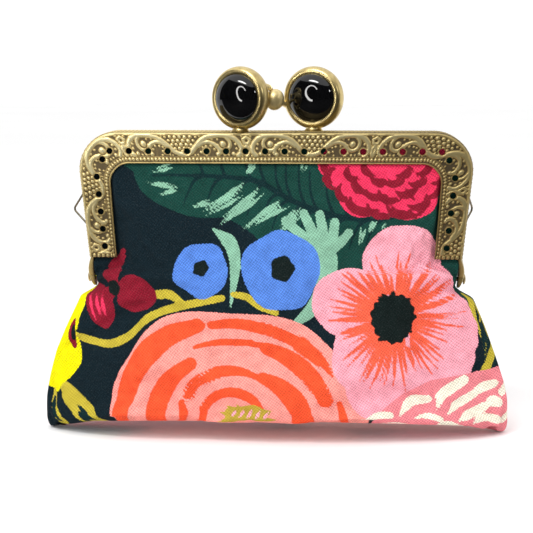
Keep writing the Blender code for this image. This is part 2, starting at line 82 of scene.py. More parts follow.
# Pouch
BASE_HALF_WIDTH = 63.6 * MM
BASE_HALF_DEPTH = 16.8 * MM
BASE_ROUNDING = 3.0 * MM
CORNER_CLIP = 1.2 * MM  # how much the base corners are rounded off
NECK_TAPER = 11.0 * MM
PANEL_TOP = 78.6 * MM
FREE_SHARE = 0.9  # the share of the half width that is not by the side edge
PANEL_EDGE_INSET = 2.9 * MM
PANEL_EDGE_Y = 4.65 * MM
HIP_BULGE = 0.8 * MM  # how far the filled side seams round outwards
CHANNEL_STEP = 1.1 * MM  # how far the cloth drops back as it goes under the frame's inner edge
BASE_ARCH = 4.0 * MM  # how high the middle of the base rises between its corners
NECK_PUFF = 2.3 * MM  # how far the cloth swells past the channel below the arm's foot
SEAM_Y = 0.15 * MM
CLOTH = 0.5 * MM
FLEECE, PRESSED_FLEECE = 1.2 * MM, 0.4 * MM
LINING = 0.4 * MM
LAYER_GAP = 0.2 * MM

HANDS = ((-1, "left"), (1, "right"))


# ---- small tools -------------------------------------------------------------------------------


def ease(value, start, end):
    share = np.clip((value - start) / (end - start), 0.0, 1.0)
    return share * share * (3 - 2 * share)


def mix(low, high, share):
    return low + (high - low) * share


def new_object(name, points, faces, finish, smooth_angle=None):
    """A mesh piece from points and faces, turned outwards and shaded smooth."""
    mesh = bpy.data.meshes.new(name)
    mesh.from_pydata([tuple(point) for point in points], [], [tuple(face) for face in faces])
    work = bmesh.new()
    work.from_mesh(mesh)
    bmesh.ops.recalc_face_normals(work, faces=work.faces)
    work.to_mesh(mesh)
    work.free()
    mesh.shade_smooth()
    if smooth_angle is not None:
        mesh.set_sharp_from_angle(angle=smooth_angle)
    mesh.materials.append(finish)
    made = bpy.data.objects.new(name, mesh)
    bpy.context.scene.collection.objects.link(made)
    return made


def add_attribute(piece, name, values, kind="FLOAT"):
    layer = piece.data.attributes.new(name, kind, "POINT")
    key = "value" if kind == "FLOAT" else "vector"
    layer.data.foreach_set(key, np.asarray(values, np.float32).ravel())


def settle(piece, body, slot, *nodes):
    """Rides a finished piece on its body, in place of its CAD nodes."""
    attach(piece, body)
    if nodes:
        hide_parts(*nodes)
    return piece


def arc(first, last, steps):
    """Evenly spaced turns, in radians, from first to last, in degrees."""
    return [math.radians(mix(first, last, step / steps)) for step in range(steps + 1)]


def off_line(x, y, start, end):
    """How far along a straight piece each point lies, as a share, and its offset from there."""
    dx, dy = end[0] - start[0], end[1] - start[1]
    share = np.clip(((x - start[0]) * dx + (y - start[1]) * dy) / (dx * dx + dy * dy + 1e-9), 0.0, 1.0)
    return share, x - start[0] - share * dx, y - start[1] - share * dy


def grid_faces(rows, columns, start=0, wrap=False):
    """Quads of a grid of points stored row by row."""
    faces = []
    last = columns if wrap else columns - 1
    for row in range(rows - 1):
        for column in range(last):
            here = start + row * columns + column
            beside = start + row * columns + (column + 1) % columns
            faces.append((here, beside, beside + columns, here + columns))
    return faces


def tube(name, points, sides, finish, closed, smooth_angle):
    """A piece from rings of points, with its ends joined to each other or each of them capped."""
    faces = grid_faces(len(points) // sides, sides, wrap=True)
    last = len(points) - sides
    if closed:
        for step in range(sides):
            after = (step + 1) % sides
            faces.append((last + step, last + after, after, step))
    else:
        faces += [tuple(range(sides)), tuple(range(last, len(points)))]
    return new_object(name, points, faces, finish, smooth_angle)


def turned(name, profile, origin, axis, sides, finish, closed=False, smooth_angle=math.radians(40)):
    """A profile of (distance along the axis, radius) pairs turned about an axis."""
    axis = Vector(axis).normalized()
    across = axis.orthogonal().normalized()
    up = axis.cross(across)
    points = []
    for along, radius in profile:
        for step in range(sides):
            turn = 2 * math.pi * step / sides
            out = math.cos(turn) * across + math.sin(turn) * up
            points.append(Vector(origin) + along * axis + radius * out)
    return tube(name, points, sides, finish, closed, smooth_angle)


def joined(target, *others):
    """Adds the meshes of other objects to a target object."""
    work = bmesh.new()
    work.from_mesh(target.data)
    for other in others:
        work.from_mesh(other.data)
        bpy.data.objects.remove(other, do_unlink=True)
    work.to_mesh(target.data)
    work.free()
    return target


# ---- node materials ----------------------------------------------------------------------------


class Nodes:
    """Short calls for building one material's node tree."""

    def __init__(self, name):
        self.material = bpy.data.materials.new(name)
        self.material.use_nodes = True
        self.tree = self.material.node_tree
        self.tree.nodes.clear()
        self.shader = self.add("ShaderNodeBsdfPrincipled")
        output = self.add("ShaderNodeOutputMaterial")
        self.link(self.shader.outputs[0], output.inputs["Surface"])

    def add(self, kind, inputs=None, **settings):
        """A new node: its settings, then a value or a link for each input named or numbered."""
        node = self.tree.nodes.new(kind)
        for key, value in settings.items():
            setattr(node, key, value)
        for key, value in (inputs or {}).items():
            self.put(node.inputs[key], value)
        return node

    def link(self, source, target):
        self.tree.links.new(source, target)

    def put(self, socket, value):
        if isinstance(value, bpy.types.NodeSocket):
            self.link(value, socket)
        else:
            socket.default_value = value

    def set(self, **values):
        """A value or a link for each shader input named, as base_color for Base Color."""
        for key, value in values.items():
            label = key.replace("_", " ").title().replace("Ior", "IOR")
            self.put(self.shader.inputs[label], value)

    def math(self, operation, *values):
        return self.add("ShaderNodeMath", dict(enumerate(values)), operation=operation).outputs[0]

    def plus(self, first, second):
        return self.math("ADD", first, second)

    def times(self, first, second):
        return self.math("MULTIPLY", first, second)

    def line(self, value, factor, offset):
        return self.math("MULTIPLY_ADD", value, factor, offset)

    def attribute(self, name, output="Fac"):
        return self.add("ShaderNodeAttribute", attribute_name=name).outputs[output]

    def object_coords(self):
        return self.add("ShaderNodeTexCoord").outputs["Object"]

    def split(self, vector):
        return self.add("ShaderNodeSeparateXYZ", {0: vector}).outputs

    def scaled(self, vector, scale):
        return self.add("ShaderNodeVectorMath", {0: vector, 1: scale}, operation="MULTIPLY").outputs[0]

    def turned(self, vector, angle):
        inputs = {"Vector": vector, "Angle": math.radians(angle)}
        return self.add("ShaderNodeVectorRotate", inputs, rotation_type="Z_AXIS").outputs[0]

    def noise(self, vector, scale, detail=2.0, roughness=0.5):
        inputs = {"Vector": vector, "Scale": scale, "Detail": detail, "Roughness": roughness}
        return self.add("ShaderNodeTexNoise", inputs).outputs["Fac"]

    def ramp(self, factor, *stops):
        """A colour ramp; each stop is (position, (r, g, b))."""
        node = self.add("ShaderNodeValToRGB")
        elements = node.color_ramp.elements
        while len(elements) < len(stops):
            elements.new(0.5)
        for element, (position, colour) in zip(elements, stops):
            element.position = position
            element.color = (*colour, 1.0)
        self.put(node.inputs[0], factor)
        return node.outputs[0]

    def span(self, value, low, high, to_low=0.0, to_high=1.0):
        inputs = {"Value": value, "From Min": low, "From Max": high, "To Min": to_low, "To Max": to_high}
        return self.add("ShaderNodeMapRange", inputs).outputs[0]

    def blend(self, factor, first, second, mode="MIX"):
        """A mix of two colours, each a link or (r, g, b)."""
        first, second = ((*value, 1.0) if isinstance(value, tuple) else value for value in (first, second))
        inputs = {0: factor, 6: first, 7: second}
        return self.add("ShaderNodeMix", inputs, data_type="RGBA", blend_type=mode).outputs[2]

    def bump(self, height, strength, distance):
        inputs = {"Strength": strength, "Distance": distance, "Height": height}
        self.link(self.add("ShaderNodeBump", inputs).outputs[0], self.shader.inputs["Normal"])

    def grey(self, value):
        return self.add("ShaderNodeCombineColor", {0: value, 1: value, 2: value}).outputs[0]

    def weave(self, cloth, pitch):
        """Plain weave height, 0 to 1, from cloth coordinates in millimetres, with uneven threads."""
        wander = self.noise(self.scaled(cloth, (0.35, 0.35, 1.0)), 1.0, 3.0)
        split = self.split(cloth)
        waves = []
        for number, swing in enumerate((5.0, -4.0)):
            phase = self.line(split[number], math.pi / pitch, self.times(wander, swing))
            waves.append(self.math("SINE", phase))
        above = self.math("GREATER_THAN", self.times(*waves), 0.0)
        warp, weft = [self.math("ABSOLUTE", wave) for wave in waves]
        return self.line(self.math("SUBTRACT", warp, weft), above, weft)


def embossed_brass():
    """Stamped antique brass: dark in the hollows, worn bright on the tops of the relief."""
    n = Nodes("embossed_antique_brass")
    coords = n.object_coords()
    blotch = n.noise(coords, 160.0, 4.0, 0.6)
    fine = n.noise(coords, 1400.0, 3.0, 0.6)
    level = n.plus(n.attribute("relief"), n.line(blotch, 0.36, -0.18))
    level = n.plus(level, n.line(fine, 0.2, -0.1))
    colour = n.ramp(
        n.line(level, 0.5, 0.5),
        (0.1, (0.018, 0.016, 0.012)),
        (0.5, (0.135, 0.098, 0.043)),
        (0.55, (0.29, 0.212, 0.085)),
        (0.63, (0.62, 0.47, 0.19)),
        (0.76, (0.95, 0.76, 0.34)),
        (1.0, (1.0, 0.88, 0.50)),
    )
    # Painted shade: the brass is darkened towards the right side and on the lower part of the frame, as if
    # lit from the upper left.
    right, _, up = n.split(coords)
    painted_shade = n.span(n.plus(right, n.times(blotch, 0.02)), -0.03, 0.06, 0.0, 0.95)
    shade_below = n.span(n.plus(up, n.times(blotch, 0.012)), 0.086, 0.072, 0.0, 0.62)
    painted_shade = n.math("MAXIMUM", painted_shade, shade_below)
    colour = n.blend(painted_shade, colour, n.blend(1.0, colour, (0.36, 0.325, 0.25), "MULTIPLY"))
    n.set(base_color=colour, metallic=n.span(level, -0.6, 0.5, 0.1, 0.74))
    n.set(roughness=n.span(level, -0.4, 0.8, 0.8, 0.4))
    n.bump(n.plus(fine, n.times(blotch, 0.5)), 0.12, 0.05 * MM)
    return n.material


def smooth_brass(name, dark, light, roughness, metallic=1.0):
    """Plain brass with a brushed patina."""
    n = Nodes(name)
    coords = n.object_coords()
    streaks = n.noise(n.scaled(coords, (1.0, 1.0, 0.25)), 900.0, 4.0, 0.6)
    blotch = n.noise(coords, 220.0, 3.0, 0.55)
    tone = n.plus(n.times(streaks, 0.45), n.times(blotch, 0.55))
    n.set(base_color=n.ramp(tone, (0.3, dark), (0.62, light)), metallic=metallic)
    n.set(roughness=n.span(tone, 0.3, 0.7, roughness + 0.12, roughness))
    n.bump(streaks, 0.03, 0.01 * MM)
    return n.material


def black_resin():
    n = Nodes("black_resin")
    haze = n.noise(n.object_coords(), 60.0, 2.0)
    n.set(base_color=n.ramp(haze, (0.3, (0.0006, 0.0006, 0.0008)), (0.7, (0.0014, 0.0014, 0.0018))))
    n.set(roughness=n.span(haze, 0.3, 0.7, 0.03, 0.05), ior=1.6)
    return n.material


def plain_cloth(name, dark, light, pitch, fuzz=0.3):
    n = Nodes(name)
    cloth = n.attribute("cloth", "Vector")
    weave = n.weave(cloth, pitch)
    blotch = n.noise(cloth, 0.25, 3.0)
    tone = n.plus(n.times(weave, 0.6), n.times(blotch, 0.4))
    n.set(base_color=n.ramp(tone, (0.2, dark), (0.8, light)), roughness=0.9)
    n.set(sheen_weight=fuzz, sheen_roughness=0.5)
    n.bump(weave, 0.5, 0.12 * MM)
    return n.material


def twisted_fibre(name, dark, light):
    n = Nodes(name)
    coords = n.object_coords()
    fibre = n.noise(n.scaled(coords, (1.0, 1.0, 3.0)), 1500.0, 4.0, 0.7)
    n.set(base_color=n.ramp(fibre, (0.3, dark), (0.7, light)), roughness=0.9)
    n.bump(fibre, 0.4, 0.08 * MM)
    return n.material


# ---- frame outline -----------------------------------------------------------------------------


def corner_radius(inset):
    return CORNER_RADIUS - inset * (CORNER_RADIUS - INNER_CORNER_RADIUS) / FACE_WIDTH


def arm_x(z, inset):
    """Half width of the outline's leaning arm, moved in by inset."""
    rise = z - HINGE_Z - inset * math.sin(ARM_LEAN)
    return HINGE_HALF_WIDTH - inset * math.cos(ARM_LEAN) + rise * math.tan(ARM_LEAN)


def corner_centre(inset):
    """x and z of the middle of the outline's rounded corner."""
    top = FRAME_TOP - inset
    radius = corner_radius(inset)
    back = radius * math.tan((math.pi / 2 + ARM_LEAN) / 2)
    return arm_x(top, inset) - back, top - radius


def edge_x(z, inset):
    """Half width of the outline moved in by inset, at each height."""
    centre_x, centre_z = corner_centre(inset)
    radius = corner_radius(inset)
    rise = np.clip(z - centre_z, 0.0, radius)
    on_arc = centre_x + np.sqrt(radius * radius - rise * rise)
    lowest = centre_z - radius * math.sin(ARM_LEAN)
    return np.where(z <= lowest, arm_x(z, inset), on_arc)


CORNER_SWEEP = math.pi / 2 + ARM_LEAN
TOP_HALF = corner_centre(HOLE_LINE)[0]
CORNER_RUN = corner_radius(HOLE_LINE) * CORNER_SWEEP
ARM_TOP = corner_centre(HOLE_LINE)[1] - corner_radius(HOLE_LINE) * math.sin(ARM_LEAN)
ARM_RUN = (ARM_TOP - ARM_FOOT) / math.cos(ARM_LEAN)
HALF_RUN = TOP_HALF + CORNER_RUN + ARM_RUN


def place(run, inset):
    """x and z on the outline moved in by inset, where run is the way along the hole line from the middle."""
    side = np.sign(run)
    run = np.abs(run)
    centre_x, centre_z = corner_centre(0.0)
    inner_x, inner_z = corner_centre(MM)
    centre_x = centre_x + (inner_x - centre_x) * inset / MM
    centre_z = centre_z + (inner_z - centre_z) * inset / MM
    radius = corner_radius(inset)
    turn = math.pi / 2 - CORNER_SWEEP * np.clip((run - TOP_HALF) / CORNER_RUN, 0.0, 1.0)
    x = centre_x * np.minimum(run / TOP_HALF, 1.0) + radius * np.cos(turn)
    z = centre_z + radius * np.sin(turn)
    down = np.clip((run - TOP_HALF - CORNER_RUN) / ARM_RUN, 0.0, 1.0)
    x = mix(x, arm_x(ARM_FOOT, inset), down)
    z = mix(z, ARM_FOOT, down)
    return side * x, z


def hole_places():
    """x and z of every thread hole."""
    places = []
    for number in range(TOP_HOLES):
        places.append(((number - (TOP_HOLES - 1) / 2) * TOP_PITCH, FRAME_TOP - TOP_HOLE_INSET))
    for number in range(ARM_HOLES):
        z = ARM_FIRST_HOLE + number * ARM_PITCH
        x = float(edge_x(z, ARM_HOLE_INSET))
        places += [(x, z), (-x, z)]
    return places


# ---- relief of the stamping, in millimetres ------------------------------------------------------

FAR = 99.0


def ridge(distance, half_width, height):
    return height * np.sqrt(np.clip(1 - (distance / half_width) ** 2, 0.0, 1.0))


def line_distance(x, y, route):
    """Distance of each point from a route of straight pieces."""
    best = np.full(x.shape, FAR)
    for start, end in zip(route, route[1:]):
        _, off_x, off_y = off_line(x, y, start, end)
        best = np.minimum(best, np.hypot(off_x, off_y))
    return best


def spiral(centre, start_radius, end_radius, start_turn, turns):
    steps = 22
    route = []
    for share in np.linspace(0, 1, steps + 1):
        turn = start_turn + turns * 2 * math.pi * share
        radius = mix(start_radius, end_radius, share)
        route.append((centre[0] + radius * math.cos(turn), centre[1] + radius * math.sin(turn)))
    return route


RELIEF_HEIGHT = 0.44
PERIOD, PERIOD_START = 34.4, 9.8  # of the scroll pattern, in mm along the hole line
RUN_STATIONS = (-80.0, -70.8, -54.4, -40.0, -24.6, 9.8, 42.5, 55.5, 71.8, 80.0)
PATTERN_STATIONS = (-86.0, -76.2, -59.0, -41.8, -24.6, 9.8, 44.2, 61.4, 78.6, 87.0)
PEARL_PITCH, PEARL_LINE = 1.03, 7.1
LONG_ARC = (
    (-1.0, 5.6), (0.0, 5.75), (1.2, 5.6), (2.4, 5.0), (3.4, 4.0), (4.3, 3.0), (5.4, 2.0), (6.8, 1.2),
    (8.6, 0.75), (10.6, 0.6), (12.6, 0.8), (14.2, 1.5), (15.3, 2.7), (15.8, 4.0), (15.6, 5.2), (14.8, 6.0),
)
SHORT_ARC = ((4.4, 3.5), (5.8, 2.6), (7.3, 2.4), (8.8, 3.0), (9.8, 4.2), (9.9, 5.3))
STEM = ((17.2, 3.3), (16.7, 4.3), (16.8, 5.4), (17.2, 6.1))
CELL = [(17.2 + 0.95 * math.sin(turn), 2.05 - 0.95 * math.cos(turn)) for turn in arc(0, -216, 3)]
SCROLLS = (  # route, half width and height of each raised line
    (LONG_ARC, 0.68, RELIEF_HEIGHT),
    (SHORT_ARC, 0.56, 0.42),
    (spiral((11.0, 3.0), 2.0, 1.5, -1.0, 0.62), 0.5, 0.4),
    (STEM, 0.52, 0.38),
    (CELL, 0.42, 0.38),
)
GRAINS = (  # place along and across the face, and radius, of each ball
    (11.0, 3.0, 0.85), (9.4, 5.7, 0.6), (13.6, 5.6, 0.55), (0.0, 1.1, 0.5), (1.35, 1.2, 0.52),
    (2.75, 1.1, 0.48), (0.7, 2.15, 0.55), (2.1, 2.2, 0.56), (3.4, 2.1, 0.42), (0.0, 3.15, 0.58),
    (1.4, 3.2, 0.5), (2.65, 3.25, 0.44), (0.7, 4.15, 0.5), (1.95, 4.2, 0.42), (0.0, 4.9, 0.36),
    (4.2, 1.15, 0.36), (5.2, 0.95, 0.3), (6.5, 3.6, 0.34), (7.8, 3.5, 0.34), (5.6, 3.9, 0.3),
    (8.6, 4.4, 0.32), (5.9, 5.0, 0.34), (4.9, 5.2, 0.36), (6.3, 6.0, 0.3), (4.0, 5.9, 0.3),
    (3.2, 6.0, 0.26), (8.3, 1.65, 0.34), (9.7, 1.75, 0.3), (14.3, 3.0, 0.36), (14.5, 4.2, 0.34),
    (13.9, 2.1, 0.3), (11.2, 5.9, 0.34), (12.3, 5.9, 0.3), (16.1, 0.9, 0.34), (17.2, 0.6, 0.3),
    (16.3, 3.4, 0.28), (15.9, 6.1, 0.3),
)
FOOT_GRAINS = (  # place across the face and radius
    (1.4, 0.55), (2.6, 0.55), (3.8, 0.55), (5.0, 0.55), (6.2, 0.55), (7.3, 0.5),
)


def relief(run, inset):
    """Height of the stamped face in millimetres at each way along the hole line and inset."""
    w, u = run / MM, inset / MM
    phase = (np.interp(w, RUN_STATIONS, PATTERN_STATIONS) - PERIOD_START) / PERIOD
    a = np.abs(phase - np.round(phase)) * PERIOD
    height = np.zeros(a.shape)
    for route, half_width, rise in SCROLLS:
        height = np.maximum(height, ridge(line_distance(a, u, route), half_width, rise))
    for ball_a, ball_u, radius in GRAINS:
        near = (np.abs(a - ball_a) < 1) & (np.abs(u - ball_u) < 1)
        ball = ridge(np.hypot(a[near] - ball_a, u[near] - ball_u), radius, min(0.5, 0.95 * radius))
        height[near] = np.maximum(height[near], ball)
    height = height * ease(u, 0.25, 0.5) * ease(-u, -6.6, -6.35)
    wave = 0.07 * np.sin(2 * math.pi * w / 4.3)
    along = ((w / PEARL_PITCH) % 1.0 - 0.5) * PEARL_PITCH
    wavy_edge = 0.34 * np.clip(1 - ((u - 0.42 - wave) / 0.36) ** 2, 0.0, 1.0)
    pearls = ridge(np.hypot(along, u - PEARL_LINE), 0.46, RELIEF_HEIGHT)
    inner_edge = 0.16 * ease(u, 7.75, 8.0)
    groove_edge = 0.1 * ease(u, 6.3, 6.42) * ease(-u, -6.62, -6.5)
    for border in (wavy_edge, pearls, inner_edge, groove_edge):
        height = np.maximum(height, border)
    foot = HALF_RUN / MM - np.abs(w)
    for foot_u, radius in FOOT_GRAINS:
        near = (foot < 1.2) & (np.abs(u - foot_u) < 0.8)
        scallop = ridge(np.hypot(foot[near] - 0.5, u[near] - foot_u), radius, 0.36)
        height[near] = np.maximum(height[near] * ease(foot[near], 0.7, 1.2), scallop)
    x, z = place(run, inset)
    for hole_x, hole_z in hole_places():
        distance = np.hypot(x - hole_x, z - hole_z) / MM
        near = distance < 1.5
        rim = ridge(distance[near] - 1.0, 0.18, 0.12)
        height[near] = np.maximum(height[near] * ease(distance[near], 0.9, 1.2), rim)
    return height


# ---- frame halves --------------------------------------------------------------------------------


def frame_half(name, side, body, finish):
    """The embossed, pierced channel of one half."""
    face_columns, wall_columns, stations = 46, 12, 900
    round_off = 0.3 * MM
    under_y = FACE_Y - SHEET
    face_insets = np.linspace(round_off, FACE_WIDTH - 0.15 * MM, face_columns)
    ring = [(inset, FACE_Y, "face") for inset in face_insets]
    ring += [(FACE_WIDTH, FACE_Y - 0.15 * MM, "plain"), (FACE_WIDTH, under_y + 0.1 * MM, "plain")]
    ring += [(inset, under_y, "plain") for inset in face_insets[::-1]]
    ring += [(SHEET, under_y - 0.2 * MM, "plain"), (SHEET, BACK_Y + SHEET, "plain")]
    ring += [(BACK_WIDTH, BACK_Y + SHEET, "plain"), (BACK_WIDTH, BACK_Y, "plain")]
    ring += [(0.2 * MM, BACK_Y, "plain")]
    ring += [(0.0, y, "wall") for y in np.linspace(BACK_Y + 0.25 * MM, FACE_Y - round_off, wall_columns)]
    for turn in arc(67.5, 22.5, 2):
        ring.append((round_off * (1 - math.sin(turn)), FACE_Y - round_off * (1 - math.cos(turn)), "edge"))
    insets, depths, kinds = [np.array(values) for values in zip(*ring)]
    wall = kinds == "wall"
    count = len(ring)
    last_under = 2 * face_columns + 1

    runs = np.linspace(-HALF_RUN, HALF_RUN, stations)
    grid_run, grid_inset = np.meshgrid(runs, insets, indexing="ij")
    grid_y = np.tile(depths, (stations, 1))
    tone = np.full(grid_run.shape, 0.25)
    face = slice(0, face_columns)
    height = relief(grid_run[:, face], grid_inset[:, face])
    grid_y[:, face] += height * MM
    tone[:, face] = height / RELIEF_HEIGHT
    rope_phase = (grid_run[:, wall] + 0.9 * grid_y[:, wall]) / ROPE_PITCH
    rope = 0.5 + 0.5 * np.sin(2 * math.pi * rope_phase)
    fade = ease(grid_y[:, wall], 0.3 * MM, 0.9 * MM) * ease(-grid_y[:, wall], -5.0 * MM, -4.4 * MM)
    grid_inset[:, wall] -= ROPE_DEPTH * rope * fade
    tone[:, wall] = mix(0.0, 1.5 * rope - 0.7, fade)
    tone[:, kinds == "edge"] = 0.6
    arm_start = TOP_HALF + CORNER_RUN * 0.6
    on_arm = np.clip((np.abs(grid_run) - arm_start) / (HALF_RUN - arm_start), 0.0, 1.0)
    inner_share = ease(grid_inset, 5.4 * MM, FACE_WIDTH)
    grid_x, grid_z = place(grid_run, grid_inset - ARM_NARROWING * on_arm**0.7 * inner_share)

    points = np.stack([grid_x, side * grid_y, grid_z], axis=2)
    cut = set()
    for hole_x, hole_z in hole_places():
        distance = np.hypot(grid_x[:, face] - hole_x, grid_z[:, face] - hole_z)
        inside = distance < HOLE_RADIUS
        quads = inside[:-1, :-1] | inside[1:, :-1] | inside[:-1, 1:] | inside[1:, 1:]
        rows, columns = np.nonzero(quads)
        cut |= set(zip(rows.tolist(), columns.tolist()))
        rim = set()
        for row, column in zip(rows, columns):
            for corner in ((row, column), (row + 1, column), (row, column + 1), (row + 1, column + 1)):
                if not inside[corner]:
                    rim.add(corner)
        for row, column in rim:
            for target in (column, last_under - column):
                offset = Vector((grid_x[row, target] - hole_x, grid_z[row, target] - hole_z))
                offset = offset.normalized() * HOLE_RADIUS
                points[row, target, 0] = hole_x + offset.x
                points[row, target, 2] = hole_z + offset.y
            points[row, column, 1] = side * (FACE_Y + 0.12 * MM)

    def index(row, column):
        return row * count + column

    def under_index(row, column):
        return index(row, last_under - column)

    under_cut = {(row, last_under - 1 - column) for row, column in cut}
    faces = []
    for row in range(stations - 1):
        for column in range(count):
            if (row, column) in cut or (row, column) in under_cut:
                continue
            after = (column + 1) % count
            corners = ((row, column), (row, after), (row + 1, after), (row + 1, column))
            faces.append(tuple(index(*corner) for corner in corners))
    faces.append(tuple(index(0, column) for column in range(count)))
    faces.append(tuple(index(stations - 1, column) for column in range(count)))
    for row, column in cut:
        corners = [(row, column), (row, column + 1), (row + 1, column + 1), (row + 1, column)]
        neighbours = [(row - 1, column), (row, column + 1), (row + 1, column), (row, column - 1)]
        for number in range(4):
            if neighbours[number] not in cut:
                first, second = corners[number], corners[(number + 1) % 4]
                faces.append((index(*first), index(*second), under_index(*second), under_index(*first)))
    used = sorted({corner for face_corners in faces for corner in face_corners})
    fresh = {old: new for new, old in enumerate(used)}
    faces = [tuple(fresh[corner] for corner in face_corners) for face_corners in faces]
    half = new_object(f"{name}_embossed", points.reshape(-1, 3)[used], faces, finish, math.radians(55))
    add_attribute(half, "relief", tone.ravel()[used])
    return settle(half, body, "antique_brass", name)


EAR_LOW, EAR_HIGH = 39.0 * MM, 48.6 * MM


def hinge_ear(name, side, mirror, inner_x, radius, bulge, body, finish):
    """A strap that curls down from the arm's foot to the rivet, domed outwards."""
    outer_y, inner_y = side * (FACE_Y - 0.35 * MM), side * (BACK_Y + SHEET)
    top, foot = 50.6 * MM, ARM_FOOT + 0.3 * MM
    outline = [(outer_y, top), (inner_y, top), (inner_y, ARM_FOOT - 0.3 * MM)]
    for turn in arc(50, -200, 20):
        outline.append((-side * radius * math.cos(turn), HINGE_Z + radius * math.sin(turn)))
    for step in range(1, 8):
        share = step / 8
        y = mix(side * radius, outer_y, share)
        outline.append((y, mix(HINGE_Z + 0.4 * MM, foot, share**1.3)))
    outline.append((outer_y, foot))
    middle_y = sum(y for y, _ in outline) / len(outline)
    layers = ((0.0, 0.0), (0.45, 0.0), (0.6, 0.12), (0.75, 0.35), (0.82, 0.7))
    points = []
    for out, shrink in layers:
        for y, z in outline:
            share = min(max((z - EAR_LOW) / (EAR_HIGH - EAR_LOW), 0.0), 1.0)
            swell = bulge * math.sin(math.pi * share) * (0.35 if out == 0.0 else 1.0)
            x = inner_x + out * MM + swell
            spine_y = mix(0.0, middle_y, float(ease(z, HINGE_Z, HINGE_Z + 4 * MM)))
            points.append((mirror * x, mix(y, spine_y, shrink), mix(z, max(z, HINGE_Z), shrink)))
    ear = tube(name, points, len(outline), finish, False, math.radians(50))
    tones = [mix(0.1, 1.15, out / 0.82) for out, _ in layers for _ in outline]
    add_attribute(ear, "relief", tones)
    return settle(ear, body, "antique_brass")


def build_frame(embossed, plain):
    halves = (
        ("front", -1, 48.95 * MM, 2.4 * MM, 1.2 * MM),
        ("rear", 1, 48.05 * MM, 1.8 * MM, 0.0),
    )
    for label, side, inner_x, radius, bulge in halves:
        body = f"{label}_frame"
        frame_half(f"{label}_frame_half", side, body, embossed)
        for mirror, hand in HANDS:
            hinge_ear(f"{hand}_{label}_hinge_ear", side, mirror, inner_x, radius, bulge, body, embossed)
    for mirror, hand in HANDS:
        ends = [abs(corner[0]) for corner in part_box(f"{hand}_hinge_rivet")]
        inner = min(ends)
        head = max(ends) + 0.15 * MM
        shank, dome = 0.6 * MM, 0.6 * MM
        profile = [(inner, 0.5 * MM), (inner + 0.15 * MM, 1.0 * MM), (inner + 0.4 * MM, 1.15 * MM)]
        profile += [(inner + 0.4 * MM, shank), (head, shank), (head, 1.4 * MM)]
        for turn in arc(0, 75, 5):
            profile.append((head + 0.15 * MM + dome * math.sin(turn), 1.5 * MM * math.cos(turn)))
        rivet = turned(f"{hand}_domed_rivet", profile, (0, 0, HINGE_Z), (mirror, 0, 0), 32, plain)
        settle(rivet, "rear_frame", "antique_brass", f"{hand}_hinge_rivet")


# ---- clasp ---------------------------------------------------------------------------------------

KNOBS = (
    ("left", "front_frame", math.radians(28)),
    ("right", "rear_frame", math.radians(21)),
)
KNOB_RADIUS = 8.4 * MM
RIM_RADIUS = 7.05 * MM
RIM_HALF_WIDTH = 2.15 * MM
STONE_RADIUS = 6.65 * MM
STONE_BASE = 1.25 * MM
STONE_RISE = 3.5 * MM


def knob_facing(yaw):
    return Vector((-math.sin(yaw), -math.cos(yaw), 0))


def stone_middle(hand):
    """Middle of a knob: halfway between its two stones."""
    corners = []
    for place_name in ("front", "rear"):
        corners += [Vector(corner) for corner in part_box(f"{hand}_{place_name}_cabochon")]
    return sum(corners, Vector()) / len(corners)


def bezel_profile():
    """Fat rounded ring with a seat on each side, from the middle to one side, then mirrored."""
    half = []
    for turn in arc(0, 118, 14):
        bulge = math.copysign(abs(math.cos(turn)) ** 0.9, math.cos(turn))
        half.append((RIM_HALF_WIDTH * math.sin(turn), RIM_RADIUS + (KNOB_RADIUS - RIM_RADIUS) * bulge))
    half += [(STONE_BASE, STONE_RADIUS + 0.02 * MM), (0.8 * MM, STONE_RADIUS - 0.1 * MM)]
    back = [(-along, radius) for along, radius in half[::-1]]
    return half + back[:-1]


